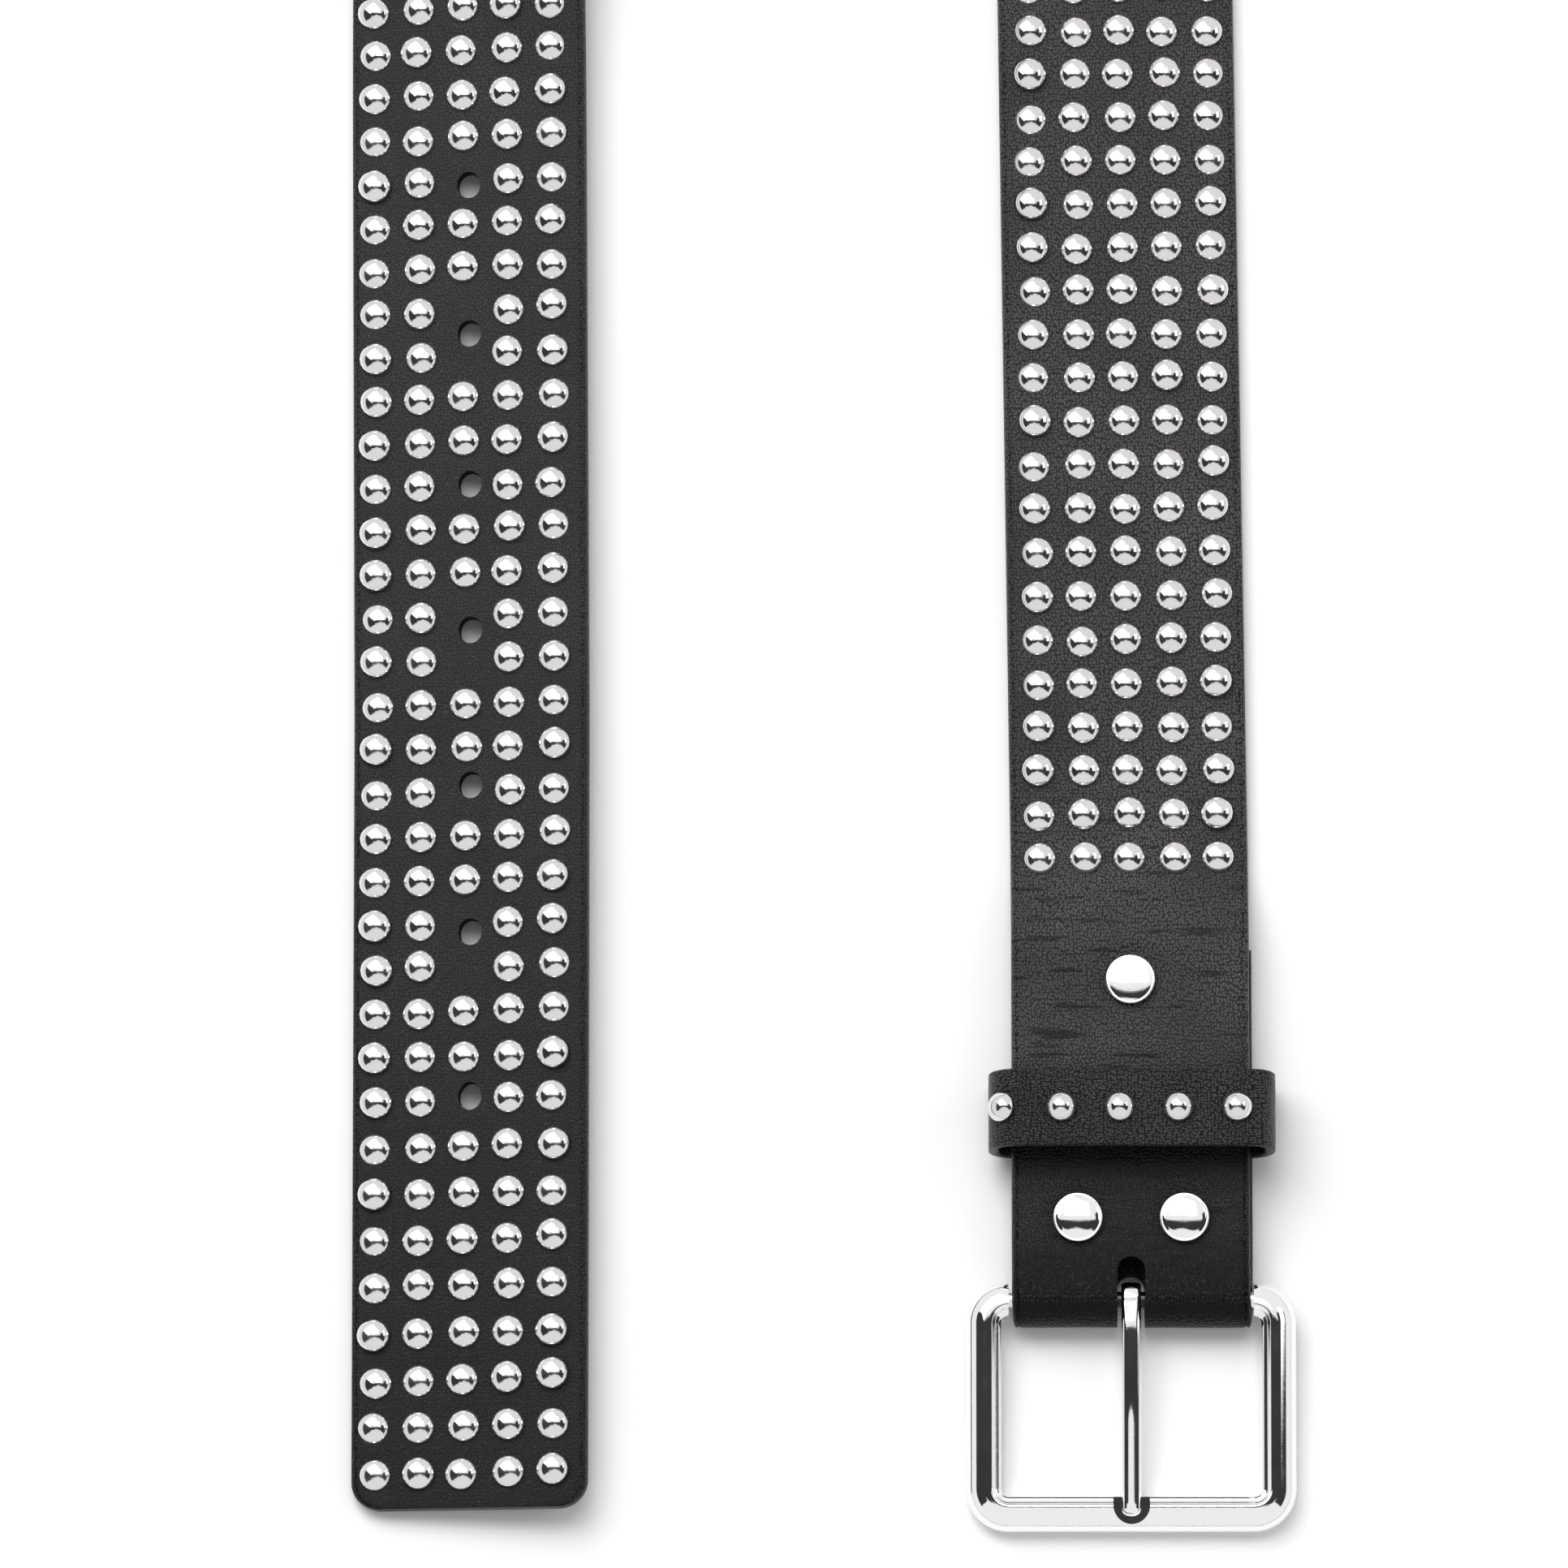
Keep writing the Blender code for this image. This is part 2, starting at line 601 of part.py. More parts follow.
def tongue_outline():
    """Side view of the tongue, along the frame: an eye round the bar, then a low arch to a blunt end."""
    end = TONGUE_END_Y
    tip = TONGUE_THICK / 2
    low = NOTCH_FLOOR + SEAT_GAP
    eye = TONGUE_EYE_RADIUS
    under = eye - TONGUE_THICK
    leave = sqrt(eye ** 2 - under ** 2)
    top = []
    for i in range(1, 8):
        share = i / 8
        height = eye + (low + TONGUE_THICK - eye) * share + TONGUE_ARCH * 4 * share * (1 - share)
        top.append(((end + tip) * share, height))
    nose = arc((end + tip, low + tip), tip, pi / 2, 1.5 * pi, 8)
    first = atan2(under, -leave)
    ring = arc((0, 0), eye, first, first + 2 * pi - (first - pi / 2), 20)
    return [(0, eye)] + top + nose + ring[:-1]


def make_tongue(pivot):
    """A flat bar bent round the heel bar at one end, lying in the frame's notch at the other."""
    curve = bpy.data.curves.new("tongue", "CURVE")
    curve.dimensions = "2D"
    curve.fill_mode = "BOTH"
    curve.extrude = TONGUE_WIDTH / 2
    eye = arc((0, 0), HEEL_RADIUS + SEAT_GAP, 0, 2 * pi, 16)[:-1]
    for outline in (tongue_outline(), eye):
        spline = curve.splines.new("POLY")
        spline.points.add(len(outline) - 1)
        spline.use_cyclic_u = True
        for point, (y, z) in zip(spline.points, outline):
            point.co = (y, z, 0, 1)
    tongue = add("tongue", curve, PARTS, CHROME, pivot, rotation=(pi / 2, 0, pi / 2))
    weld = tongue.modifiers.new("weld", "WELD")
    weld.merge_threshold = WELD
    bevel = tongue.modifiers.new("edges", "BEVEL")
    bevel.width = TONGUE_EDGE
    bevel.segments = 2
    bevel.limit_method = "ANGLE"
    bevel.angle_limit = radians(60)
    return tongue


def stand_over_origin():
    """Moves the whole belt so that the middle of its box is over the origin."""
    bpy.context.view_layer.update()
    graph = bpy.context.evaluated_depsgraph_get()
    corners = []
    for obj in PARTS.objects:
        if obj.type == "EMPTY":
            continue
        evaluated = obj.evaluated_get(graph)
        mesh = evaluated.to_mesh()
        corners += [evaluated.matrix_world @ v.co for v in mesh.vertices]
        evaluated.to_mesh_clear()
    for axis in (0, 1):
        low = min(c[axis] for c in corners)
        high = max(c[axis] for c in corners)
        BELT.location[axis] = -(low + high) / 2


clear_scene()
PARTS = new_collection("studded_belt")
CUTTERS = new_collection("belt_cutters")
CUTTERS.hide_render = True
LEATHER = principled("black_leather", (0.016, 0.015, 0.016), 0.0, 0.48)
CHROME = principled("polished_metal", (0.86, 0.86, 0.87), 1.0, 0.10)

BELT = add("belt", None, PARTS)
HINGE = add("buckle_hinge", None, PARTS, parent=BELT, location=(BUCKLE_LEG_X, 0, HEEL_Z))
HINGE.rotation_euler = (frame_tilt(), 0, 0)
PIVOT = add("tongue_pivot", None, PARTS, parent=HINGE)

make_strap()
make_rivets()
make_keeper()
make_keeper_studs()
make_frame(HINGE)
make_heel_bar(HINGE)
make_tongue(PIVOT)
stand_over_origin()
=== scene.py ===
"""Looks of the studded belt: its leather, its studs, its buckle, the surface it lies on and the light.

Metres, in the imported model's frame. Plan positions are measured from the heel bar, as in the solids.
"""

from math import cos, pi, radians, sin, tan

import bpy
import mathutils
import numpy as np
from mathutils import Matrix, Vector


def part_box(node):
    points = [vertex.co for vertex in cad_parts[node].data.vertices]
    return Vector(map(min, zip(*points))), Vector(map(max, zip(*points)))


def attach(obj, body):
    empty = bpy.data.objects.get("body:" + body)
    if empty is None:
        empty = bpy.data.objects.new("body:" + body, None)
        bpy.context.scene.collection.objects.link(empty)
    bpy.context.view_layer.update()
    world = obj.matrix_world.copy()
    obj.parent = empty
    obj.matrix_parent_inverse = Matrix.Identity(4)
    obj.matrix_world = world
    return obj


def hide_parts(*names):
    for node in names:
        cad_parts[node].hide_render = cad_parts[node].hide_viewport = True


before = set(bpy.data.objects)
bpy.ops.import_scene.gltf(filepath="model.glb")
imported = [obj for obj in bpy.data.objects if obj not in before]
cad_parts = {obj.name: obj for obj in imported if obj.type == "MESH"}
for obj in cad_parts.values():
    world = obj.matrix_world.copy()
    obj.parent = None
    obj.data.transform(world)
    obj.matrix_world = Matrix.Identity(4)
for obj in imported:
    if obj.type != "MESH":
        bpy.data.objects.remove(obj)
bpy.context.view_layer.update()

# Camera
# It looks straight along the belt's length, ten degrees off upright, from far away, as the photo does.

FIELD = 0.2666  # width of the surface that the picture takes in, at the point aimed at
FAR = 3.0
CAMERA_UP = radians(80)
AIM_ALONG = 0.0893  # past the heel bar
SENSOR_MM = 36.0

bar_low, bar_high = (np.array(corner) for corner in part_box("heel_bar"))
bar = (bar_low + bar_high) / 2
LEG_X = 0.0586  # the buckle leg's place in plan
plan = np.array([bar[0] - LEG_X, bar[1], 0.0])

camera_data = bpy.data.cameras.new("camera")
camera_data.sensor_width = SENSOR_MM
camera_data.lens = SENSOR_MM * FAR / FIELD
camera_data.clip_start = 0.1
camera_data.clip_end = 20.0
camera = bpy.data.objects.new("camera", camera_data)
bpy.context.scene.collection.objects.link(camera)
camera.location = plan + (0, AIM_ALONG - FAR * cos(CAMERA_UP), FAR * sin(CAMERA_UP))
camera.rotation_euler = (pi / 2 - CAMERA_UP, 0, 0)
bpy.context.scene.camera = camera

# Leather
# Full-grain black leather. Its grain is a fine pebble over slow swells. The pebbles' crests are painted
# lighter, a painted highlight, and the hollows between them darker, painted shade.

GRAIN_WANDER = (1.8, 1.8, 0.0)  # how far the rows of pebbles stray, in pebbles
GRAIN_DRAWN = (1.2, 0.9, 1.0)  # pebbles to a cell, round the section and along the piece
GRAIN_CREST = (0.66, 0.10)  # distance from a pebble's middle, in cells, where the crest starts and is full
GRAIN_SHARES = (0.5, 0.25, 1.1)  # of crest, fine grain and swell in the height
SWELLS = 140.0  # a metre
GLINT_PATCHES = 38.0  # a metre
CRACK_GRAIN = (75.0, 620.0, 1.0)  # cracks a metre, round the section and along the piece; drawn as painted shade in creases
CRACK_EDGE = (0.56, 0.68)
LEATHER_SHINE = 0.12


def node(tree, kind, **settings):
    """A new shader node. Settings named in_0, in_1 set or link inputs, others set properties."""
    made = tree.nodes.new(kind)
    for name, value in settings.items():
        if not name.startswith("in_"):
            setattr(made, name, value)
    for name, value in settings.items():
        if name.startswith("in_"):
            key = name[3:]
            socket = made.inputs[int(key) if key.isdigit() else key.replace("_", " ")]
            if isinstance(value, bpy.types.NodeSocket):
                tree.links.new(value, socket)
            else:
                socket.default_value = value
    return made


def math_node(tree, operation, *values):
    """The output of a Math node with these inputs."""
    made = node(tree, "ShaderNodeMath", operation=operation)
    for socket, value in zip(made.inputs, values):
        if isinstance(value, bpy.types.NodeSocket):
            tree.links.new(value, socket)
        else:
            socket.default_value = value
    return made.outputs[0]


def ranged(tree, value, start, end, low=0.0, high=1.0, kind="LINEAR"):
    """The value mapped from start and end to low and high."""
    made = node(tree, "ShaderNodeMapRange", interpolation_type=kind, in_Value=value)
    for key, number in (("From Min", start), ("From Max", end), ("To Min", low), ("To Max", high)):
        made.inputs[key].default_value = number
    return made.outputs[0]


def leather_grain():
    """Group: a place in metres and the cells a metre give a height, a slow tone and a mask of the crests."""
    tree = bpy.data.node_groups.new("leather_grain", "ShaderNodeTree")
    tree.interface.new_socket("Place", in_out="INPUT", socket_type="NodeSocketVector")
    tree.interface.new_socket("Cells", in_out="INPUT", socket_type="NodeSocketFloat")
    for name in ("Height", "Tone", "Crest"):
        tree.interface.new_socket(name, in_out="OUTPUT", socket_type="NodeSocketFloat")
    source = node(tree, "NodeGroupInput")
    place, cells = source.outputs[0], source.outputs[1]
    scaled = node(tree, "ShaderNodeVectorMath", operation="SCALE", in_0=place, in_Scale=cells).outputs[0]
    warp = node(tree, "ShaderNodeTexNoise", in_Vector=scaled, in_Scale=0.16, in_Detail=1.0)
    bend = node(tree, "ShaderNodeVectorMath", operation="MULTIPLY_ADD", in_0=warp.outputs["Color"])
    bend.inputs[1].default_value = GRAIN_WANDER
    tree.links.new(scaled, bend.inputs[2])
    drawn = node(tree, "ShaderNodeVectorMath", operation="MULTIPLY", in_0=bend.outputs[0], in_1=GRAIN_DRAWN)
    pebble = node(tree, "ShaderNodeTexVoronoi", voronoi_dimensions="2D", feature="F1", in_Scale=1.0)
    tree.links.new(drawn.outputs[0], pebble.inputs["Vector"])
    pebble.inputs["Randomness"].default_value = 0.7
    crest = ranged(tree, pebble.outputs["Distance"], *GRAIN_CREST, kind="SMOOTHSTEP")
    fine = node(tree, "ShaderNodeTexNoise", in_Vector=drawn.outputs[0], in_Scale=2.0, in_Detail=2.0)
    swell = node(tree, "ShaderNodeTexNoise", in_Vector=place, in_Scale=SWELLS, in_Detail=2.0)
    crest_share, fine_share, swell_share = GRAIN_SHARES
    low = math_node(tree, "MULTIPLY", crest, crest_share)
    mid = math_node(tree, "MULTIPLY_ADD", fine.outputs[0], fine_share, low)
    height = math_node(tree, "MULTIPLY_ADD", swell.outputs[0], swell_share, mid)
    target = node(tree, "NodeGroupOutput")
    for output, socket in zip((height, swell.outputs[0], crest), target.inputs):
        tree.links.new(output, socket)
    return tree


GRAIN = leather_grain()


def leather(name, cells, relief, colour, hollow_shade, roughness, shading_along):
    """Black leather with grain of that many cells a metre and that much relief, laid by the UV map.

    The crests have the colour, a painted highlight, and between them it falls to the hollow's share, painted
    shade. The last argument lists places along the piece, in metres, with how much of the painted crest
    highlight shows there, how light the dye and painted shade leave it, and how deep the painted crease
    shade is.
    """
    made = bpy.data.materials.new(name)
    made.use_nodes = True
    tree = made.node_tree
    shader = tree.nodes["Principled BSDF"]
    uv = node(tree, "ShaderNodeUVMap", uv_map="lie")
    grain = node(tree, "ShaderNodeGroup", node_tree=GRAIN, in_Place=uv.outputs[0], in_Cells=cells)
    bump = node(tree, "ShaderNodeBump", in_Height=grain.outputs["Height"], in_Distance=relief)
    bump.inputs["Strength"].default_value = 1.0
    tree.links.new(bump.outputs[0], shader.inputs["Normal"])
    uneven = ranged(tree, grain.outputs["Tone"], 0.3, 0.7, roughness - 0.03, roughness + 0.05)
    tree.links.new(uneven, shader.inputs["Roughness"])
    along = node(tree, "ShaderNodeSeparateXYZ", in_0=uv.outputs[0]).outputs["Y"]
    length = shading_along[-1][0]
    ramp = node(tree, "ShaderNodeValToRGB", in_0=math_node(tree, "DIVIDE", along, length))
    stops = ramp.color_ramp.elements
    while len(stops) < len(shading_along):
        stops.new(0.5)
    for stop, (at, share, dye_and_shade, crease_shade_amount) in zip(stops, shading_along):
        stop.position = at / length
        stop.color = (share, dye_and_shade, crease_shade_amount, 1)
    parts = node(tree, "ShaderNodeSeparateColor", in_0=ramp.outputs[0])
    # random patches where the painted crest highlight shows more or less
    slow = node(tree, "ShaderNodeTexNoise", in_Vector=uv.outputs[0], in_Scale=GLINT_PATCHES, in_Detail=1.0)
    patchy = math_node(tree, "MULTIPLY_ADD", slow.outputs[0], 1.5, 0.25)
    share = math_node(tree, "MULTIPLY", parts.outputs[0], patchy)
    # painted highlight on the crests; between them the colour falls to painted shade in the hollows
    light = math_node(tree, "MULTIPLY", grain.outputs["Crest"], share)
    crest_glint_colour = node(tree, "ShaderNodeMix", data_type="RGBA", in_0=light)
    crest_glint_colour.inputs[6].default_value = (*(hollow_shade * c for c in colour), 1)
    crest_glint_colour.inputs[7].default_value = (*colour, 1)
    # painted shade in the creases: streaks that darken the colour as much as the table's last column says
    drawn = node(tree, "ShaderNodeVectorMath", operation="MULTIPLY", in_0=uv.outputs[0], in_1=CRACK_GRAIN)
    streak = node(tree, "ShaderNodeTexNoise", in_Vector=drawn.outputs[0], in_Scale=1.0, in_Detail=2.0)
    crack = ranged(tree, streak.outputs[0], *CRACK_EDGE, kind="SMOOTHSTEP")
    dark = math_node(tree, "MULTIPLY", crack, parts.outputs[2])
    # the dye's lightness along the piece, carrying the painted shade at the fold and under the keeper, less
    # the painted crease shade
    dye_and_shade_kept = math_node(tree, "MULTIPLY", parts.outputs[1], math_node(tree, "SUBTRACT", 1.0, dark))
    deep = node(tree, "ShaderNodeVectorMath", operation="SCALE", in_0=crest_glint_colour.outputs[2], in_Scale=dye_and_shade_kept)
    tree.links.new(deep.outputs[0], shader.inputs["Base Color"])
    shader.inputs["Specular IOR Level"].default_value = LEATHER_SHINE
    return made


# Strap
# One strip of 3 mm leather, folded back round the heel bar, out along one leg, standing on its edge
# round the loop and back along the other. Its edges are rubbed round with a line creased beside them.

WIDTH = 0.0403
THICK = 0.0030
HALF = WIDTH / 2
GAP = 0.0003
LEG_LENGTH = 0.410
FOLD_BACK = 0.060
FOLD_DONE = 0.076
TAIL_X = -0.0530
TAIL_END = -0.0355
TIP_RADIUS = 0.0047
BUCKLE_LEAN = radians(0.73)
TAIL_LEAN = radians(0.40)
TAIL_STRAIGHT = 0.100
BUCKLE_TURNING = 0.180
TAIL_TURNING = 0.220
TAIL_ROLL = radians(7.0)
FOLD_SKEW = 0.0005
HEEL_Z = 0.0047
FOLD_MIDDLE = 0.0032
RIVET_SEAT = 0.0013
KEEPER_SEAT = 0.0021
PAIR_LOW, PAIR_HIGH = 0.0094, 0.0178
KEEPER_LOW, KEEPER_HIGH = 0.0248, 0.0380
SINGLE_LOW = 0.0501
LAYER = THICK + GAP
RIVET_PLACES = ((0.0136, -0.009), (0.0136, 0.009), (0.0543, 0.0))  # along and across the upper layer
EDGE_ROUND = 0.0006
EDGE_CREASE = 0.00022
HOLE_ACROSS, HOLE_ALONG = 0.0020, 0.0023  # radii
HOLE_WORN = 0.10  # how much longer the first hole is pulled, as a share of its radius
SLOT_HALF = 0.00235
SLOT_TOP_END, SLOT_UNDER_END = 0.0070, 0.0045
SLOT_CUT_BACK, SLOT_CUT_HIGH = -0.01, 0.014


def ease(value, start, end):
    """t^2 (3 - 2 t), with t the share of the way from start to end."""
    t = np.clip((value - start) / (end - start), 0, 1)
    return t * t * (3 - 2 * t)


def slow_ease(value, start, end):
    """t^3 (10 - 15 t + 6 t^2), with t the share of the way from start to end."""
    t = np.clip((value - start) / (end - start), 0, 1)
    return t ** 3 * (10 - 15 * t + 6 * t * t)


def lower_height(y):
    """Height of the underside along the folded end, as in the solids."""
    up = ease(y, PAIR_HIGH, KEEPER_LOW) - ease(y, KEEPER_HIGH, SINGLE_LOW)
    return RIVET_SEAT * ease(y, 0, PAIR_LOW) + (KEEPER_SEAT - RIVET_SEAT) * up


def upper_middle(y):
    """Height of the upper layer's middle, as in the solids."""
    doubled = lower_height(y) + LAYER + THICK / 2
    over_bar = (HEEL_Z + FOLD_MIDDLE - LAYER - THICK / 2) * (1 - ease(y, 0, PAIR_LOW))
    return doubled + over_bar - (RIVET_SEAT + LAYER) * ease(y, FOLD_BACK, FOLD_DONE)


def buckle_leg_x(y):
    """x = leg's x - tan(lean) y, past the fold."""
    return LEG_X - tan(BUCKLE_LEAN) * np.maximum(0, y - FOLD_DONE)


def tail_leg_x(y):
    """x = tail's x - tan(lean) y, past the straight stretch."""
    return TAIL_X - tan(TAIL_LEAN) * np.maximum(0, y - TAIL_STRAIGHT)


def tail_roll(y):
    """How far the tail leg is rolled onto its edge: a little where it lies, a quarter turn at the loop."""
    return TAIL_ROLL + (pi / 2 - TAIL_ROLL) * slow_ease(y, LEG_LENGTH - TAIL_TURNING, LEG_LENGTH)


def rolled(x, y, heading, roll):
    """Middle and sideways direction where the strap rests on its outer edge, rolled by an angle.

    sideways = (cos h cos r, sin h cos r, -sin r); height = half width * sin r + half thickness * cos r
    """
    x, y, heading, roll = np.broadcast_arrays(x, y, heading, roll)
    middle = np.stack([x, y, HALF * np.sin(roll) + THICK / 2 * np.cos(roll)], 1)
    across = [np.cos(heading) * np.cos(roll), np.sin(heading) * np.cos(roll), -np.sin(roll)]
    return middle, np.stack(across, 1)


def spread(start, end, step):
    """Evenly spread values from start to just before end, about a step apart."""
    return np.linspace(start, end, max(2, round(abs(end - start) / step)), endpoint=False)


def strap_line():
    """Middles and sideways directions along the strap, from the folded end to the tail's end."""
    flat = np.array([1.0, 0.0, 0.0])
    y = spread(FOLD_BACK, 0, 0.0012)
    under = np.stack([np.full(len(y), LEG_X + FOLD_SKEW), y, lower_height(y) + THICK / 2], 1)
    turn = np.linspace(1.5 * pi, 0.5 * pi, 26)
    fade = FOLD_SKEW * np.linspace(1, 0, 26)
    bend = np.stack([LEG_X + fade, FOLD_MIDDLE * np.cos(turn), HEEL_Z + FOLD_MIDDLE * np.sin(turn)], 1)
    y = spread(0, FOLD_DONE, 0.0006)[1:]
    over = np.stack([np.full(len(y), LEG_X), y, upper_middle(y)], 1)
    folded = np.concatenate([under, bend, over])

    right, left = buckle_leg_x(LEG_LENGTH), tail_leg_x(LEG_LENGTH)
    loop_x = left + (right - left) * cos(BUCKLE_LEAN) / (cos(BUCKLE_LEAN) + cos(TAIL_LEAN))
    radius = (right - loop_x) * cos(BUCKLE_LEAN)
    leave = LEG_LENGTH + radius * sin(BUCKLE_LEAN)
    meet = LEG_LENGTH + radius * sin(TAIL_LEAN)
    y = spread(FOLD_DONE, leave, 0.00125)
    roll = pi / 2 * slow_ease(y, LEG_LENGTH - BUCKLE_TURNING, leave)
    out = rolled(buckle_leg_x(y), y, BUCKLE_LEAN, roll)
    way = spread(BUCKLE_LEAN, pi + TAIL_LEAN, radians(1.4))
    round_loop = rolled(loop_x + radius * np.cos(way), LEG_LENGTH + radius * np.sin(way), way, pi / 2)
    tip = TAIL_END + TIP_RADIUS * (1 - np.sin(np.linspace(0, pi / 2, 14)))
    y = np.concatenate([spread(meet, TAIL_END + TIP_RADIUS, 0.00125), tip])
    back = rolled(tail_leg_x(y), y, pi + TAIL_LEAN * (y > TAIL_STRAIGHT), tail_roll(y))
    middle = np.concatenate([folded, out[0], round_loop[0], back[0]])
    across = np.concatenate([np.tile(flat, (len(folded), 1)), out[1], round_loop[1], back[1]])
    half = np.full(len(middle), HALF)
    inside = np.clip(tip - TAIL_END, 0, TIP_RADIUS)
    bow = np.sqrt(np.maximum(TIP_RADIUS ** 2 - (TIP_RADIUS - inside) ** 2, 0))
    half[-len(tip):] = HALF - TIP_RADIUS + bow
    return middle + plan, across, half


line, line_across, line_half = strap_line()
steps = np.linalg.norm(np.diff(line, axis=0), axis=1)
line_along = np.concatenate([[0], np.cumsum(steps)])
line_tangent = np.gradient(line, line_along, axis=0)
line_face = np.cross(line_across, line_tangent)
line_face /= np.linalg.norm(line_face, axis=1)[:, None]
STRAP_LENGTH = line_along[-1]


FOLD_END_LENGTH = 0.015  # past the short end: on the upper layer of the fold for certain


def along_at(y, leg):
    """Distance along the strap of a plan position on the upper side of a leg."""
    first = int(np.argmin(np.abs(line_along - (FOLD_BACK + FOLD_END_LENGTH))))
    last = int(np.argmax(line[:, 1]))
    if leg == "tail":
        return float(np.interp(-(y + plan[1]), -line[last:, 1], line_along[last:]))
    return float(np.interp(y + plan[1], line[first:last, 1], line_along[first:last]))


# The studs' places are here because the leather sinks a little under each one.
STUD_COLUMNS = 5
HOLE_COLUMN = 2
COLUMN_DRIFT, DRIFT_LENGTH = 0.0010, 0.30  # the rows wander to one side over the first stretch
ROW_SKEW = 0.0003
STUD_JITTER = (0.00016, 0.00014)  # along, across
STUD_PITCH_ACROSS = 0.0076
TIP_MARGIN = 0.0061
TIP_PITCH, TIP_ROWS = 0.00795, 8
HOLE_CLEARS = 0.0063
FIRST_ROW_Y = 0.0761
STUD_PITCH = 0.00756
HOLE_FIRST, HOLE_PITCH = 0.0702, 0.02625
HOLE_STRAY = (0, 0.002, 0.001, 0.0015, 0.0005, 0.0004, 0)
HOLE_Y = [HOLE_FIRST + TAIL_END + HOLE_PITCH * i + stray for i, stray in enumerate(HOLE_STRAY)]


def stud_places():
    """(along, across) of every stud: five columns in square rows, none where a hole is."""
    chance = np.random.default_rng(7)
    end = STRAP_LENGTH - TIP_MARGIN
    tip_rows = end - TIP_PITCH * np.arange(TIP_ROWS + 1)
    first = along_at(FIRST_ROW_Y, "buckle")
    count = round((tip_rows[-1] - first) / STUD_PITCH)
    rows = np.concatenate([np.linspace(first, tip_rows[-1], count, endpoint=False), tip_rows[::-1]])
    columns = STUD_PITCH_ACROSS * (np.arange(STUD_COLUMNS) - (STUD_COLUMNS - 1) / 2)
    along, across = np.meshgrid(rows, columns, indexing="ij")
    shift = COLUMN_DRIFT * np.clip((along - first) / DRIFT_LENGTH, 0, 1)
    along = along + ROW_SKEW * across / columns[-1] * (along > STRAP_LENGTH / 2)
    across = across + shift
    holes = np.array([along_at(y, "tail") for y in HOLE_Y])
    near = np.abs(along[:, :, None] - holes).min(2) < HOLE_CLEARS
    keep = ~(near & (np.arange(STUD_COLUMNS) == HOLE_COLUMN)[None, :])
    along = along + chance.normal(0, STUD_JITTER[0], along.shape)
    across = across + chance.normal(0, STUD_JITTER[1], across.shape)
    return along[keep], across[keep]


stud_along, stud_across = stud_places()

CREASES = (  # plan y, from x to x across the leg, depth: short wrinkles in the unstudded leather
    (0.0662, -0.0190, -0.0060, 0.00010), (0.0641, -0.0185, -0.0090, 0.00012),
    (0.0622, -0.0195, -0.0110, 0.00008), (0.0603, -0.0160, -0.0060, 0.00008),
    (0.0560, -0.0195, -0.0140, 0.00012), (0.0538, -0.0190, -0.0110, 0.00009),
    (0.0470, -0.0190, -0.0040, 0.00007), (0.0452, -0.0165, 0.0100, 0.00008),
    (0.0437, -0.0120, 0.0140, 0.00007), (0.0172, -0.0195, -0.0155, 0.00014),
    (0.0156, -0.0195, -0.0150, 0.00014), (0.0141, -0.0195, -0.0157, 0.00012),
)
CREASE_DEEPER = 2.2
CREASE_HALF = 0.00038


def dip(away, deep, flat, fall):
    """deep exp(-((away - flat) / fall)^2), and the full depth as far out as flat."""
    return deep * np.exp(-np.maximum(0, (away - flat) / fall) ** 2)


def relief(along, across):
    """Height of the face over the flat, in metres: dips at studs and rivets, wrinkles, edge creases."""
    height = np.zeros(along.shape)
    for s, u in zip(stud_along, stud_across):
        rows = np.abs(along[:, 0] - s) < 0.005
        away = np.hypot(along[rows] - s, across[rows] - u)
        height[rows] -= dip(away, 0.00022, 0.0021, 0.0011)
    leg = along_at(FOLD_DONE, "buckle") - FOLD_DONE
    y = along - leg
    upper = along[:, :1] > (FOLD_BACK + pi * FOLD_MIDDLE)
    for rivet_y, rivet_x in RIVET_PLACES:
        height -= upper * dip(np.hypot(y - rivet_y, across - rivet_x), 0.00042, 0.0036, 0.0019)
    for crease_y, start, end, depth in CREASES:
        wander = 0.0004 * np.sin(across * 700 + crease_y * 9000)
        inside = ease(across, start, start + 0.003) * (1 - ease(across, end - 0.004, end))
        groove = np.exp(-((y - crease_y - wander) / CREASE_HALF) ** 2)
        height -= upper * CREASE_DEEPER * depth * inside * groove
    swell = np.sin(along * 210 + 3 * np.sin(across * 120)) * np.sin(across * 160 + along * 37)
    height += 0.00005 * swell
    return height


def sweep(middle, across, face, widths, depths, section, closed):
    """Rings of a section set along a line: point = middle + width u across + depth w face."""
    u = section[:, 0][None, :] * np.broadcast_to(widths, len(middle))[:, None]
    w = section[:, 1][None, :] * np.broadcast_to(depths, len(middle))[:, None]
    points = middle[:, None] + u[..., None] * across[:, None] + w[..., None] * face[:, None]
    rings, size = u.shape
    ring = np.arange(rings if closed else rings - 1)
    a = (ring[:, None] * size + np.arange(size)).ravel()
    b = (ring[:, None] * size + (np.arange(size) + 1) % size).ravel()
    ahead = np.where(ring == rings - 1, -ring * size, size)
    c = b + np.repeat(ahead, size)
    d = a + np.repeat(ahead, size)
    return points.reshape(-1, 3), np.stack([a, b, c, d], 1)


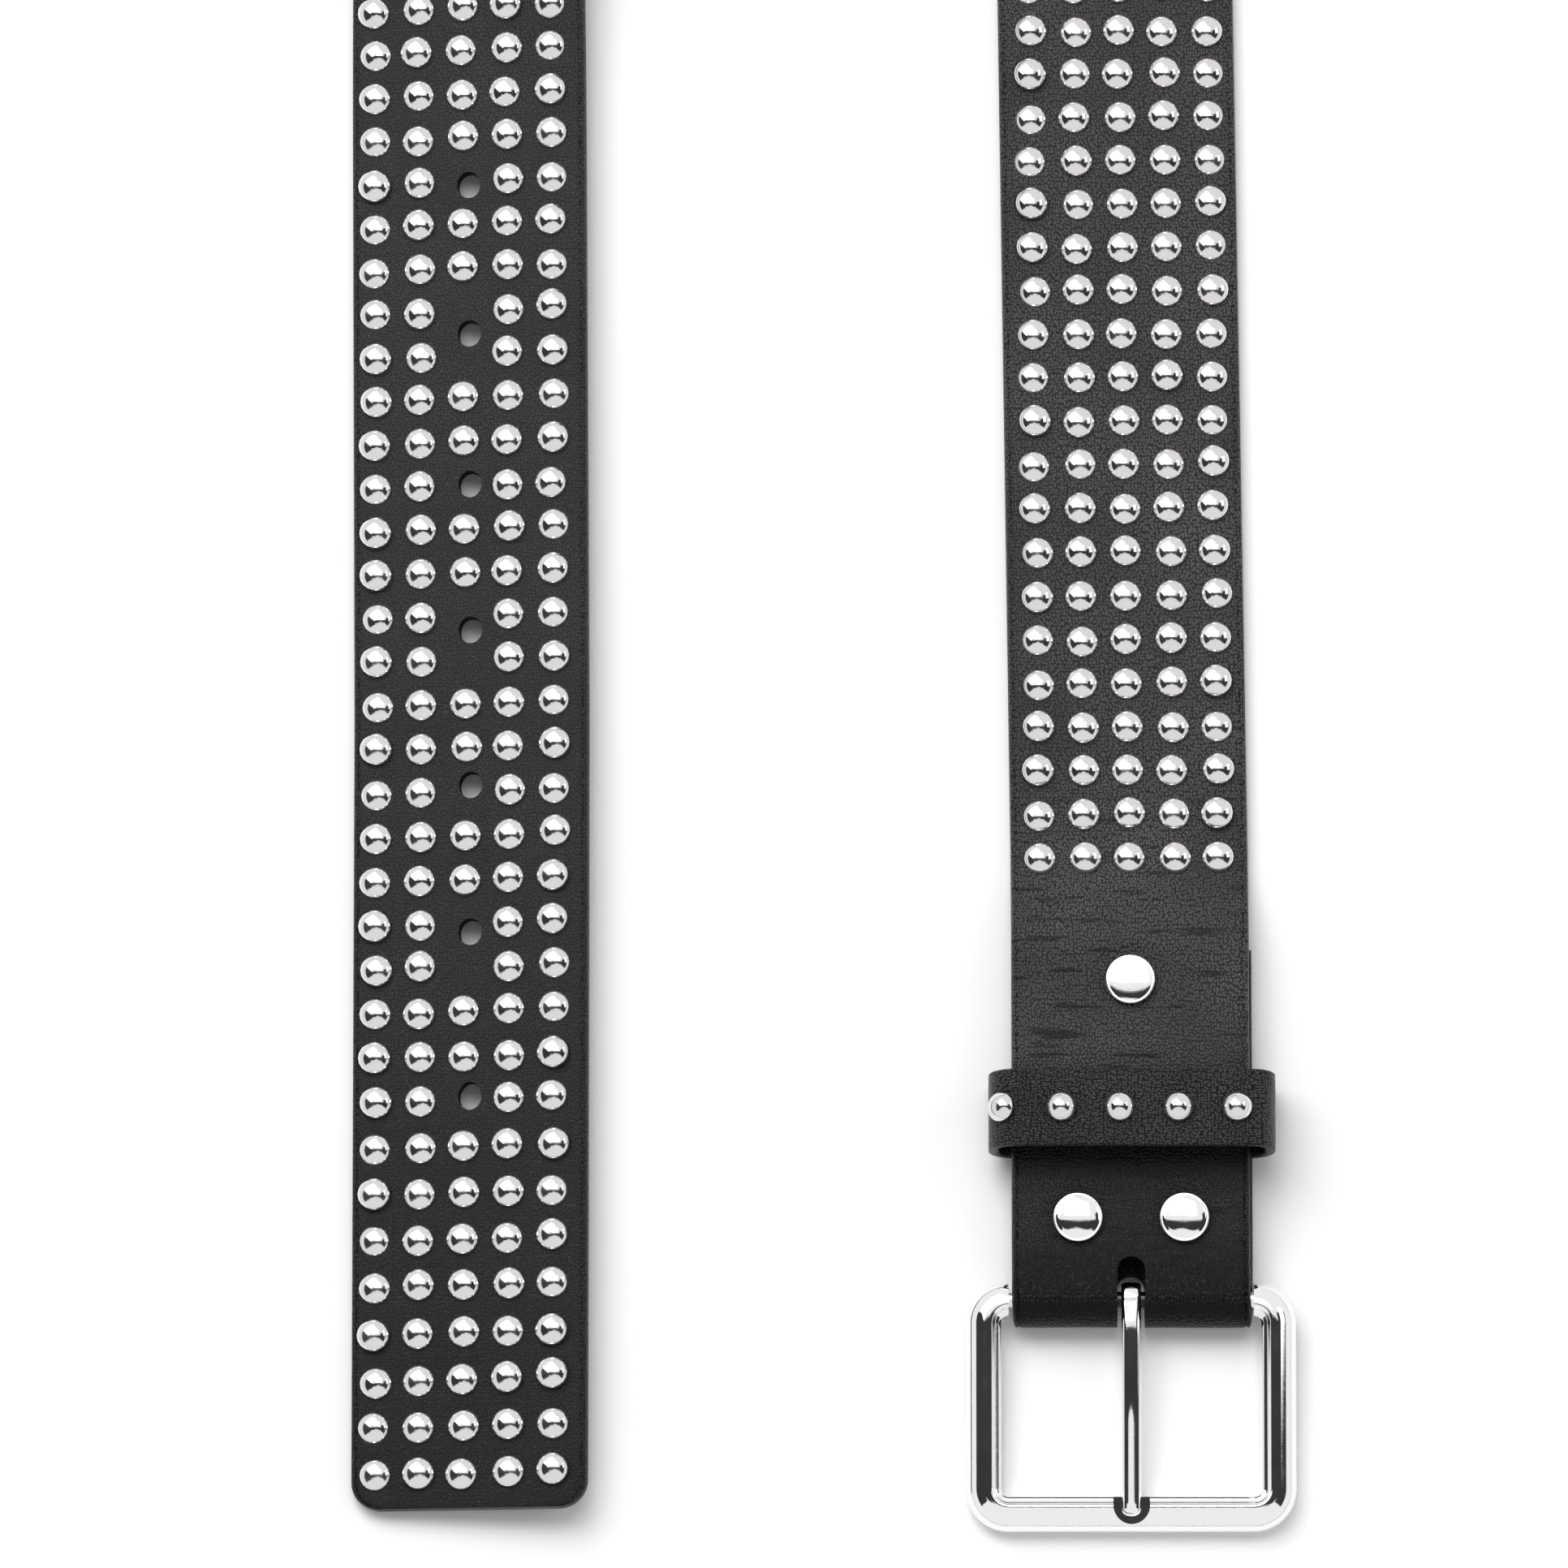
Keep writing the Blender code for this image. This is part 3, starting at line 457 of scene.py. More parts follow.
def band_section(half, thick, radius, columns, under, crease):
    """Cross-section of a leather band and how many of its points are on the face.

    It goes from +u to -u on the face, round the edge and back below. A crease of that depth runs along the
    face beside each edge, 0.4 mm in from where it turns.
    """
    inner = half - radius - 0.0008
    beside = half - radius - np.array([0.0, 0.00022, 0.00038, 0.00054])
    flat = np.concatenate([beside, np.linspace(inner, -inner, columns), -beside[::-1]])
    sunk = np.zeros(len(flat))
    sunk[[1, 2, 3, -4, -3, -2]] = crease * np.array([0.5, 1, 0.5, 0.5, 1, 0.5])
    top = np.stack([flat, thick / 2 - sunk], 1)
    turn = np.linspace(pi / 2, -pi / 2, 9)[1:-1]
    bulge, rise = radius * np.cos(turn), thick / 2 * np.sin(turn)
    low = np.stack([np.linspace(radius - half, half - radius, under), np.full(under, -thick / 2)], 1)
    left = np.stack([radius - half - bulge, rise], 1)
    right = np.stack([half - radius + bulge, rise], 1)[::-1]
    return np.concatenate([top, left, low, right]), len(flat)


def lie_map(section, ends):
    """UV of every quad's corners, in metres: round the section, then along the piece."""
    edge = np.r_[0, np.cumsum(np.linalg.norm(np.diff(np.r_[section, section[:1]], axis=0), axis=1))]
    ring = np.arange(len(ends) - 1)[:, None]
    spot = np.arange(len(section))[None, :]
    q = np.stack([edge[spot + k] + 0 * ring for k in (0, 1, 1, 0)], 2)
    s = np.stack([ends[ring + k] + 0 * spot for k in (1, 1, 0, 0)], 2)
    return np.stack([q, s], 3).reshape(-1, 2)


def mesh_piece(name, points, faces, material, uv=None):
    """A smooth mesh object at the origin, in the scene."""
    mesh = bpy.data.meshes.new(name)
    mesh.from_pydata(points.tolist(), [], faces)
    if uv is not None:
        mesh.uv_layers.new(name="lie").data.foreach_set("uv", np.asarray(uv, np.float32).ravel())
    mesh.shade_smooth()
    mesh.materials.append(material)
    made = bpy.data.objects.new(name, mesh)
    bpy.context.scene.collection.objects.link(made)
    return made


def punched(obj, cutters):
    """Applies cuts to a mesh object, once, and takes the cutters away."""
    for cutter in cutters:
        cut = obj.modifiers.new(cutter.name, "BOOLEAN")
        cut.operation = "DIFFERENCE"
        cut.object = cutter
        cut.material_mode = "TRANSFER"
    bpy.context.view_layer.update()
    graph = bpy.context.evaluated_depsgraph_get()
    mesh = bpy.data.meshes.new_from_object(obj.evaluated_get(graph))
    obj.modifiers.clear()
    obj.data = mesh
    for cutter in cutters:
        bpy.data.objects.remove(cutter, do_unlink=True)


def prism(name, outline, low, high, material):
    """A closed upright prism of a flat outline, for cutting. The cut takes its material."""
    ring = np.array(outline)
    count = len(ring)
    points = np.concatenate([np.c_[ring, np.full(count, low)], np.c_[ring, np.full(count, high)]])
    sides = [(i, (i + 1) % count, (i + 1) % count + count, i + count) for i in range(count)]
    faces = sides + [tuple(range(count - 1, -1, -1)), tuple(range(count, 2 * count))]
    mesh = bpy.data.meshes.new(name)
    mesh.from_pydata(points.tolist(), [], faces)
    mesh.materials.append(material)
    made = bpy.data.objects.new(name, mesh)
    bpy.context.scene.collection.objects.link(made)
    return made


def make_strap():
    """The strap's surface, its face moved by the relief, with the tongue's slot and the belt holes."""
    section, columns = band_section(HALF, THICK, EDGE_ROUND, 34, 8, EDGE_CREASE)
    points, quads = sweep(line, line_across, line_face, line_half / HALF, 1, section, False)
    size = len(section)
    rings = len(line)
    points = points.reshape(rings, size, 3)
    along = np.repeat(line_along[:, None], columns, 1)
    across = section[:columns, 0][None, :] * (line_half / HALF)[:, None]
    points[:, :columns] += relief(along, across)[..., None] * line_face[:, None]
    faces = [tuple(q) for q in quads[:, ::-1].tolist()]
    faces.append(tuple(range(size - 1, -1, -1))[::-1])
    faces.append(tuple(range((rings - 1) * size, rings * size))[::-1])
    uv = np.concatenate([lie_map(section, line_along), np.zeros((2 * size, 2))])
    strap = mesh_piece("strap_leather", points.reshape(-1, 3), faces, STRAP_LEATHER, uv)
    cutters = []
    turn = np.linspace(0, 2 * pi, 33)[:-1]
    for i, y in enumerate(HOLE_Y):
        worn = 1 + HOLE_WORN * (i == 0) * np.maximum(0, np.sin(turn)) ** 3
        outline = np.c_[HOLE_ACROSS * np.cos(turn), HOLE_ALONG * np.sin(turn) * worn]
        hole = prism(f"hole_{i}", outline, -2 * THICK, 2 * THICK, CUT_EDGE)
        roll = float(tail_roll(y))
        hole.location = plan + (tail_leg_x(y), y, HALF * sin(roll) + THICK / 2 * cos(roll))
        hole.rotation_euler = (0, -roll, 0)
        cutters.append(hole)
    turn = np.linspace(0, pi, 20)
    back = [(-SLOT_HALF, SLOT_CUT_BACK), (SLOT_HALF, SLOT_CUT_BACK)]
    for name, end, low in (("slot_top", SLOT_TOP_END, HEEL_Z), ("slot_under", SLOT_UNDER_END, -THICK)):
        rounded = np.c_[SLOT_HALF * np.cos(turn), end - SLOT_HALF + SLOT_HALF * np.sin(turn)]
        slot = prism(name, np.r_[rounded, back], low, SLOT_CUT_HIGH, CUT_EDGE)
        slot.location = plan + (LEG_X, 0, 0)
        cutters.append(slot)
    punched(strap, cutters)
    strap.data.set_sharp_from_angle(angle=radians(50))
    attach(strap, "belt_body")
    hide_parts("strap")


STRAP_SHADING_ALONG = (  # place along the strap, painted crest highlight, dye's lightness with painted shade, painted crease shade
    # through the under layer and the fold the leather is painted dark: painted shade
    (0.000, 0.00, 0.00, 0.0),
    (0.058, 0.00, 0.00, 0.0),
    (0.068, 0.02, 0.15, 0.0),
    # from the rivets up to the keeper it stays darker: painted shade
    (0.082, 0.24, 0.60, 0.5),
    (0.090, 0.26, 0.70, 0.5),
    # painted shadow under the keeper's front edge
    (0.096, 0.05, 0.10, 0.0),
    (0.110, 0.50, 1.00, 0.7),
    (0.146, 0.55, 1.00, 0.5),
    (0.170, 0.50, 1.00, 0.0),
    (0.460, 0.45, 1.00, 0.0),
    (0.660, 0.17, 1.25, 0.0),
    (0.950, 0.14, 1.20, 0.0),
    (STRAP_LENGTH, 0.08, 0.80, 0.0),
)
STRAP_LEATHER = leather(
    "strap_leather", 1850.0, 0.00026, (0.150, 0.139, 0.143), 0.10, 0.27, STRAP_SHADING_ALONG
)
ALIKE = ((0.0, 1.0, 1.0, 0.0), (1.0, 1.0, 1.0, 0.0))
CUT_EDGE = leather("cut_edge", 3000.0, 0.0002, (0.006, 0.005, 0.005), 0.2, 0.7, ALIKE)
make_strap()

# Metal
# Nickel-bright polish, with hairline scratches and a slow unevenness from buffing.

HAIRLINES = (900.0, 9000.0, 4000.0)  # a metre
SMEARS = 260.0  # a metre


def polish_wear():
    """Group: a place in metres gives a mask of hairlines and a slow smear, both from 0 to 1."""
    tree = bpy.data.node_groups.new("polish_wear", "ShaderNodeTree")
    tree.interface.new_socket("Place", in_out="INPUT", socket_type="NodeSocketVector")
    tree.interface.new_socket("Hairlines", in_out="OUTPUT", socket_type="NodeSocketFloat")
    tree.interface.new_socket("Smear", in_out="OUTPUT", socket_type="NodeSocketFloat")
    source = node(tree, "NodeGroupInput")
    drawn = node(tree, "ShaderNodeVectorMath", operation="MULTIPLY", in_0=source.outputs[0], in_1=HAIRLINES)
    lines = node(tree, "ShaderNodeTexNoise", in_Vector=drawn.outputs[0], in_Scale=1.0, in_Detail=3.0)
    smear = node(tree, "ShaderNodeTexNoise", in_Vector=source.outputs[0], in_Scale=SMEARS, in_Detail=3.0)
    target = node(tree, "NodeGroupOutput")
    tree.links.new(lines.outputs[0], target.inputs[0])
    tree.links.new(smear.outputs[0], target.inputs[1])
    return tree


WEAR = polish_wear()


def metal(name, colour, roughness, relief_high):
    """Polished metal, whose roughness and surface vary a little with the wear."""
    made = bpy.data.materials.new(name)
    made.use_nodes = True
    tree = made.node_tree
    shader = tree.nodes["Principled BSDF"]
    place = node(tree, "ShaderNodeTexCoord").outputs["Object"]
    wear = node(tree, "ShaderNodeGroup", node_tree=WEAR, in_Place=place)
    rough = ranged(tree, wear.outputs["Smear"], 0.3, 0.7, roughness * 0.6, roughness * 1.5)
    tree.links.new(rough, shader.inputs["Roughness"])
    bump = node(tree, "ShaderNodeBump", in_Height=wear.outputs["Hairlines"], in_Distance=relief_high)
    tree.links.new(bump.outputs[0], shader.inputs["Normal"])
    shader.inputs["Base Color"].default_value = (*colour, 1)
    shader.inputs["Metallic"].default_value = 1.0
    return made


# Strap studs
# Drawn steel domes, held by prongs through the leather and set in rows by hand, so none sits quite square.
# They are 5.7 mm across. The steep edge mirrors the leather, so about 5 mm of each looks bright.

STUD_RADIUS = 0.00285
STUD_HIGH = 0.0017
STUD_RIM = 0.0002
STUD_FOOT = -0.0003
STUD_SUNK = 0.00016
STUD_LEAN = 0.022  # spread of how far a stud tips, in radians
STUD_SIDES = 18


def turned_faces(levels, sides):
    """Faces of a turned profile: its rings from the top down, a crown point after them, a flat base."""
    faces = []
    for level in range(levels - 1):
        for i in range(sides):
            j = (i + 1) % sides
            top, below = level * sides, (level + 1) * sides
            faces.append((top + i, below + i, below + j, top + j))
    faces += [(i, (i + 1) % sides, levels * sides) for i in range(sides)]
    last = (levels - 1) * sides
    faces.append(tuple(last + i for i in range(sides - 1, -1, -1)))
    return faces


def make_studs():
    """One joined mesh: rings of a dome profile at each stud's place, nearly square to the leather's face.

    radius = R cos t, height = rim + (high - rim) sin t, with t from near the top to the edge
    """
    chance = np.random.default_rng(11)
    count = len(stud_along)
    rise = np.linspace(pi / 2, 0, 5)[1:]
    radii = np.r_[STUD_RADIUS * np.cos(rise), STUD_RADIUS]
    heights = np.r_[STUD_RIM + (STUD_HIGH - STUD_RIM) * np.sin(rise), STUD_FOOT]
    middle = np.stack([np.interp(stud_along, line_along, line[:, k]) for k in range(3)], 1)
    side = np.stack([np.interp(stud_along, line_along, line_across[:, k]) for k in range(3)], 1)
    face = np.stack([np.interp(stud_along, line_along, line_face[:, k]) for k in range(3)], 1)
    face /= np.linalg.norm(face, axis=1)[:, None]
    ahead = np.cross(face, side)
    up = face + chance.normal(0, STUD_LEAN, (count, 1)) * side
    up += chance.normal(0, STUD_LEAN, (count, 1)) * ahead
    up /= np.linalg.norm(up, axis=1)[:, None]
    side = np.cross(ahead, up)
    side /= np.linalg.norm(side, axis=1)[:, None]
    ahead = np.cross(up, side)
    seat = middle + stud_across[:, None] * side + (THICK / 2 - STUD_SUNK) * face
    turn = np.arange(STUD_SIDES) * 2 * pi / STUD_SIDES
    x = radii[:, None] * np.cos(turn)
    y = radii[:, None] * np.sin(turn)
    z = np.broadcast_to(heights[:, None], x.shape)
    ring = np.stack([x, y, z], 2).reshape(-1, 3)
    local = np.concatenate([ring, [[0, 0, STUD_HIGH]]])
    basis = np.stack([side, ahead, up], 1)
    points = seat[:, None] + np.einsum("pk,nkd->npd", local, basis)
    faces = turned_faces(len(radii), STUD_SIDES)
    every = [tuple(n * len(local) + v for v in f) for n in range(count) for f in faces]
    studs = mesh_piece("strap_studs", points.reshape(-1, 3), every, STUD_METAL)
    studs.data.set_sharp_from_angle(angle=radians(50))
    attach(studs, "belt_body")


STUD_METAL = metal("stud_metal", (0.77, 0.755, 0.745), 0.10, 0.000004)
make_studs()

# Keeper
# A band of coarser pebbled leather sewn into a ring round both layers, its five studs set along the top.

KEEPER_OUTER = 0.0485
KEEPER_CORNER = 0.0043
KEEPER_SIDE = 0.0060
KEEPER_TALL = 0.0152
KEEPER_WIDE = 0.0132
KEEPER_THICK = 0.0018
KEEPER_Y = 0.0314
KEEPER_SHIFT = 0.0002
KEEPER_EDGE_ROUND = 0.0004
KEEPER_EDGE_CREASE = 0.00005
KEEPER_STEPS = 180
KEEPER_STUDS = 5


def make_keeper():
    """A band swept round a rounded outline: quarter ellipses at the corners, flats between."""
    flat = KEEPER_OUTER / 2 - KEEPER_CORNER
    inner = KEEPER_THICK / 2
    across, high = KEEPER_CORNER - inner, KEEPER_SIDE - inner
    top, low = KEEPER_TALL - KEEPER_SIDE, KEEPER_SIDE
    corners = ((flat, low, -pi / 2), (flat, top, 0), (-flat, top, pi / 2), (-flat, low, pi))
    points = []
    for x, z, first in corners:
        turn = first + np.linspace(0, pi / 2, 14)
        points.append(np.c_[x + across * np.cos(turn), z + high * np.sin(turn)])
    rough = np.concatenate(points + [points[0][:1]])
    length = np.r_[0, np.cumsum(np.hypot(*np.diff(rough, axis=0).T))]
    ends = np.linspace(0, length[-1], KEEPER_STEPS + 1)
    x = np.interp(ends[:-1], length, rough[:, 0])
    z = np.interp(ends[:-1], length, rough[:, 1])
    middle = plan + np.stack([LEG_X + KEEPER_SHIFT + x, np.full(len(x), KEEPER_Y), z], 1)
    tangent = np.roll(middle, -1, 0) - np.roll(middle, 1, 0)
    tangent /= np.linalg.norm(tangent, axis=1)[:, None]
    sideways = np.tile([0.0, 1.0, 0.0], (len(x), 1))
    face = np.cross(sideways, tangent)
    section, columns = band_section(
        KEEPER_WIDE / 2, KEEPER_THICK, KEEPER_EDGE_ROUND, 18, 6, KEEPER_EDGE_CREASE
    )
    points, quads = sweep(middle, sideways, face, 1, 1, section, True)
    size = len(section)
    points = points.reshape(len(x), size, 3)
    for index in range(1, KEEPER_STUDS + 1):
        stud = np.mean([list(corner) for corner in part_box(f"keeper_stud_{index}")], axis=0)
        away = np.linalg.norm(points[:, :columns] - stud, axis=2)
        points[:, :columns] -= dip(away, 0.00020, 0.0022, 0.0011)[..., None] * face[:, None]
    faces = [tuple(f) for f in quads[:, ::-1].tolist()]
    uv = lie_map(section, ends)
    keeper = mesh_piece("keeper_leather", points.reshape(-1, 3), faces, KEEPER_LEATHER, uv)
    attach(keeper, "belt_body")
    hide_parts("keeper")


KEEPER_LENGTHWISE = ((0.0, 0.8, 1.0, 0.0), (0.2, 0.8, 1.0, 0.0))
KEEPER_LEATHER = leather(
    "keeper_leather", 1900.0, 0.00042, (0.085, 0.077, 0.076), 0.03, 0.25, KEEPER_LENGTHWISE
)
make_keeper()

BUCKLE_METAL = metal("buckle_metal", (0.92, 0.92, 0.93), 0.05, 0.000002)

# Rivets
# Two-part steel rivets: a low domed cap with a rolled rim on top, a post, and a flat back. The single one
# above the keeper has a flatter cap.

RIVET_PROFILE = np.array(
    [(1.20, 9.17), (2.20, 9.09), (3.00, 8.97), (3.55, 8.83), (3.72, 8.74), (3.80, 8.72), (3.90, 8.77)]
    + [(4.05, 8.74), (4.16, 8.62), (4.20, 8.44), (4.19, 8.20), (4.12, 8.02), (3.98, 7.92), (1.40, 7.90)]
    + [(1.40, 1.00), (4.10, 1.00), (4.20, 0.85), (4.20, 0.10), (4.10, 0.00)]
) / 1000
RIVET_TOP = 0.00920
RIVET_EDGE = 0.00872
RIVET_SIDES = 64


def make_rivet(name, crown):
    """The profile turned round the rivet's line. The dome over its rim is lowered to the crown's share."""
    low, high = (np.array(corner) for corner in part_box(name))
    centre = [*((low + high) / 2)[:2], 0.0]
    turn = np.arange(RIVET_SIDES) * 2 * pi / RIVET_SIDES
    x = RIVET_PROFILE[:, :1] * np.cos(turn)
    y = RIVET_PROFILE[:, :1] * np.sin(turn)
    crest = np.maximum(RIVET_PROFILE[:, 1:], RIVET_EDGE) - RIVET_EDGE
    z = RIVET_PROFILE[:, 1:] - (1 - crown) * crest + 0 * turn
    top = RIVET_EDGE + crown * (RIVET_TOP - RIVET_EDGE)
    points = np.concatenate([np.stack([x, y, z], 2).reshape(-1, 3), [[0, 0, top]]]) + centre
    faces = turned_faces(len(RIVET_PROFILE), RIVET_SIDES)
    rivet = mesh_piece(name + "_turned", points, faces, BUCKLE_METAL)
    rivet.data.set_sharp_from_angle(angle=radians(60))
    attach(rivet, "belt_body")
    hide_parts(name)


make_rivet("rivet_left", 1.0)
make_rivet("rivet_right", 0.92)
make_rivet("rivet_single", 0.35)

# Buckle frame
# A polished bar with a round crown and a low lip inside it, bent to a square. Its ends hold the heel bar,
# and a round notch in the front takes the tongue. It slopes down from the bar to rest on the surface.

FRAME_BAR = 0.0059
FRAME_THICK = 0.0056
FRAME_REACH = 0.0363
FRAME_EAR_Y = 0.0001
FRAME_CORNER = 0.0042
FRAME_PLAY = 0.0018  # between the strap's edge and the frame
FRAME_INSIDE = WIDTH + 2 * FRAME_PLAY
FRAME_SIDE = (FRAME_INSIDE + FRAME_BAR) / 2
SOLE_SHARE = 0.27
FRAME_EAR_GAP = 0.0005
EAR_CUT = 0.012  # past the bar, each way
NOTCH_Y = -0.0350
NOTCH_RADIUS = 0.0031
NOTCH_OPEN_Y = -0.0291
NOTCH_FLOOR = -0.0004
FRAME_SECTION = np.array(
    [(SOLE_SHARE, -0.50), (0.42, -0.38), (0.50, -0.16), (0.50, 0.00), (0.44, 0.16), (0.33, 0.30)]
    + [(0.18, 0.410), (0.02, 0.482), (-0.11, 0.503), (-0.22, 0.50), (-0.275, 0.44), (-0.31, 0.35)]
    + [(-0.37, 0.31), (-0.44, 0.28), (-0.50, 0.15), (-0.50, -0.38), (-0.42, -0.50)]
)
reach = FRAME_REACH + FRAME_BAR * SOLE_SHARE
FRAME_TILT = np.arcsin(HEEL_Z / np.hypot(reach, FRAME_THICK / 2)) - np.arctan2(FRAME_THICK / 2, reach)


def rounded_loop(corners, between):
    """Catmull-Rom curve through a closed ring of points.

    p(t) = (2 b + (c - a) t + (2 a - 5 b + 4 c - d) t^2 + (3 b - a - 3 c + d) t^3) / 2
    """
    a, b, c, d = (np.roll(corners, k, 0)[:, None] for k in (1, 0, -1, -2))
    t = (np.arange(between) / between)[None, :, None]
    curve = 2 * b + (c - a) * t + (2 * a - 5 * b + 4 * c - d) * t ** 2 + (3 * b - a - 3 * c + d) * t ** 3
    return (curve / 2).reshape(-1, 2)


def from_buckle(points):
    """Places in the frame's own level turned by its slope about the heel bar and set there.

    y' = y cos t - z sin t, z' = y sin t + z cos t
    """
    x, y, z = points.T
    c, s = cos(FRAME_TILT), sin(FRAME_TILT)
    return np.stack([x, y * c - z * s, y * s + z * c], 1) + bar


def make_frame():
    """The section swept round three sides and two corners, then cut for ears, notch and bar ends."""
    side, corner = FRAME_SIDE - FRAME_CORNER, FRAME_CORNER
    front, back = FRAME_CORNER - FRAME_REACH, FRAME_EAR_Y - FRAME_CORNER
    turns = ((-side, back, pi / 2), (-side, front, pi), (side, front, 1.5 * pi), (side, back, 0))
    line, out = [], []
    for x, y, first in turns:
        way = first + np.linspace(0, pi / 2, 25)
        out.append(np.c_[np.cos(way), np.sin(way), 0 * way])
        line.append(np.array([x, y, 0.0]) + corner * out[-1])
    line, out = np.concatenate(line), np.concatenate(out)
    up = np.tile([0.0, 0.0, 1.0], (len(line), 1))
    section = rounded_loop(FRAME_SECTION, 5) * (FRAME_BAR, FRAME_THICK)
    points, quads = sweep(line, out, up, 1, 1, section, False)
    size = len(section)
    faces = [tuple(q) for q in quads.tolist()]
    faces.append(tuple(range(size))[::-1])
    faces.append(tuple(range((len(line) - 1) * size, len(line) * size)))
    frame_piece = mesh_piece("buckle_frame_polished", points, faces, BUCKLE_METAL)
    throat, high = HALF + FRAME_EAR_GAP, 2 * FRAME_THICK
    wide = [(-throat, -EAR_CUT), (throat, -EAR_CUT), (throat, EAR_CUT), (-throat, EAR_CUT)]
    ears = prism("ears", wide, -high, high, BUCKLE_METAL)
    turn = np.linspace(pi, 2 * pi, 40)
    round_end = np.c_[NOTCH_RADIUS * np.cos(turn), NOTCH_Y + NOTCH_RADIUS * np.sin(turn)]
    open_end = [(NOTCH_RADIUS, NOTCH_OPEN_Y), (-NOTCH_RADIUS, NOTCH_OPEN_Y)]
    notch = prism("notch", np.r_[round_end, open_end], NOTCH_FLOOR, high, BUCKLE_METAL)
    punched(frame_piece, [ears, notch])
    level = np.empty(3 * len(frame_piece.data.vertices), np.float32)
    frame_piece.data.vertices.foreach_get("co", level)
    sloping = from_buckle(level.reshape(-1, 3)).astype(np.float32)
    frame_piece.data.vertices.foreach_set("co", sloping.ravel())
    frame_piece.data.shade_smooth()
    frame_piece.data.set_sharp_from_angle(angle=radians(38))
    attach(frame_piece, "buckle_body")
    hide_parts("buckle_frame")


make_frame()

# Tongue
# A rounded steel strip curled round the bar. It rises from the bar, runs level and falls to the notch, where
# its blunt end lies.

TONGUE_WIDE = 0.0033
TONGUE_END = -0.0365
TONGUE_TOP = 0.0030  # over the bar's middle
TONGUE_NOSE = 0.0012
TONGUE_FLAT_ENDS = (0.62, 0.78)  # powers that square off the round section, across and upright
SLOPE_RISING, SLOPE_LOST, SLOPE_FALLING = 0.075, 0.080, 0.062  # at the bar, and what it loses later
CURL_THICK = 0.0013
CURL_END = 0.004
STEM_THICK = 0.0023
TONGUE_SIDES = 40


def make_tongue():
    """A rounded section swept round the bar and out along the stem, drawn in at the nose.

    section = (sign(cos t) |cos t|^a, sign(sin t) |sin t|^b); the stem's slope falls in two easy steps
    """
    curl = TONGUE_TOP - CURL_THICK / 2
    way = np.linspace(-1.9, pi / 2, 40)
    ring = np.c_[0 * way, curl * np.cos(way), curl * np.sin(way)]
    body = np.linspace(CURL_END, -TONGUE_END - TONGUE_NOSE, 30)
    y = -np.r_[np.linspace(0, CURL_END, 12)[1:], body[1:]]
    nose = -TONGUE_NOSE * (1 - np.sin(np.linspace(0, pi / 2, 10)[1:]))
    y = np.r_[y, TONGUE_END - nose]
    grown = CURL_THICK + (STEM_THICK - CURL_THICK) * ease(-y, 0.0005, 0.0045)
    along = np.clip(-y / -TONGUE_END, 0, 1)
    steep = SLOPE_RISING - SLOPE_LOST * ease(along, 0.08, 0.16) - SLOPE_FALLING * ease(along, 0.44, 0.56)
    arch = np.r_[0, np.cumsum((steep[1:] + steep[:-1]) / 2 * -np.diff(y))]
    stem = np.c_[0 * y, y, TONGUE_TOP - grown / 2 + arch]
    middle = np.concatenate([ring, stem])
    ahead = np.gradient(middle, axis=0)
    ahead /= np.linalg.norm(ahead, axis=1)[:, None]
    across = np.tile([1.0, 0.0, 0.0], (len(middle), 1))
    face = np.cross(ahead, across)
    thick = np.r_[np.full(len(way), CURL_THICK), grown]
    left = np.clip((y - TONGUE_END) / TONGUE_NOSE, 0, 1)
    drawn = np.r_[np.ones(len(way)), np.sqrt(np.maximum(1 - (1 - left) ** 2, 0.0004))]
    turn = np.arange(TONGUE_SIDES) * 2 * pi / TONGUE_SIDES
    circle = np.c_[np.cos(turn), np.sin(turn)]
    shape = np.sign(circle) * np.abs(circle) ** TONGUE_FLAT_ENDS
    points, quads = sweep(middle, across, face, TONGUE_WIDE / 2 * drawn, thick / 2 * drawn, shape, False)
    size = len(shape)
    faces = [tuple(q) for q in quads.tolist()]
    faces.append(tuple(range(size))[::-1])
    faces.append(tuple(range((len(middle) - 1) * size, len(middle) * size)))
    tongue = mesh_piece("tongue_polished", from_buckle(points), faces, BUCKLE_METAL)
    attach(tongue, "tongue_body")
    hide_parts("tongue")


make_tongue()

# Keeper studs
# Five domes like the strap's, their edges rolled under. The left one leans with the keeper's round corner.

KEEPER_STUD_SHIFT = -0.0020
KEEPER_STUD_PITCH = 0.0099
KEEPER_STUD_PROFILE = np.array(
    [(0.55, 1.87), (1.05, 1.74), (1.50, 1.51), (1.90, 1.19), (2.22, 0.82)]
    + [(2.44, 0.50), (2.53, 0.32), (2.52, 0.14), (2.40, 0.0)]
) / 1000
KEEPER_STUD_HIGH = 0.00190
KEEPER_STUD_SIDES = 40


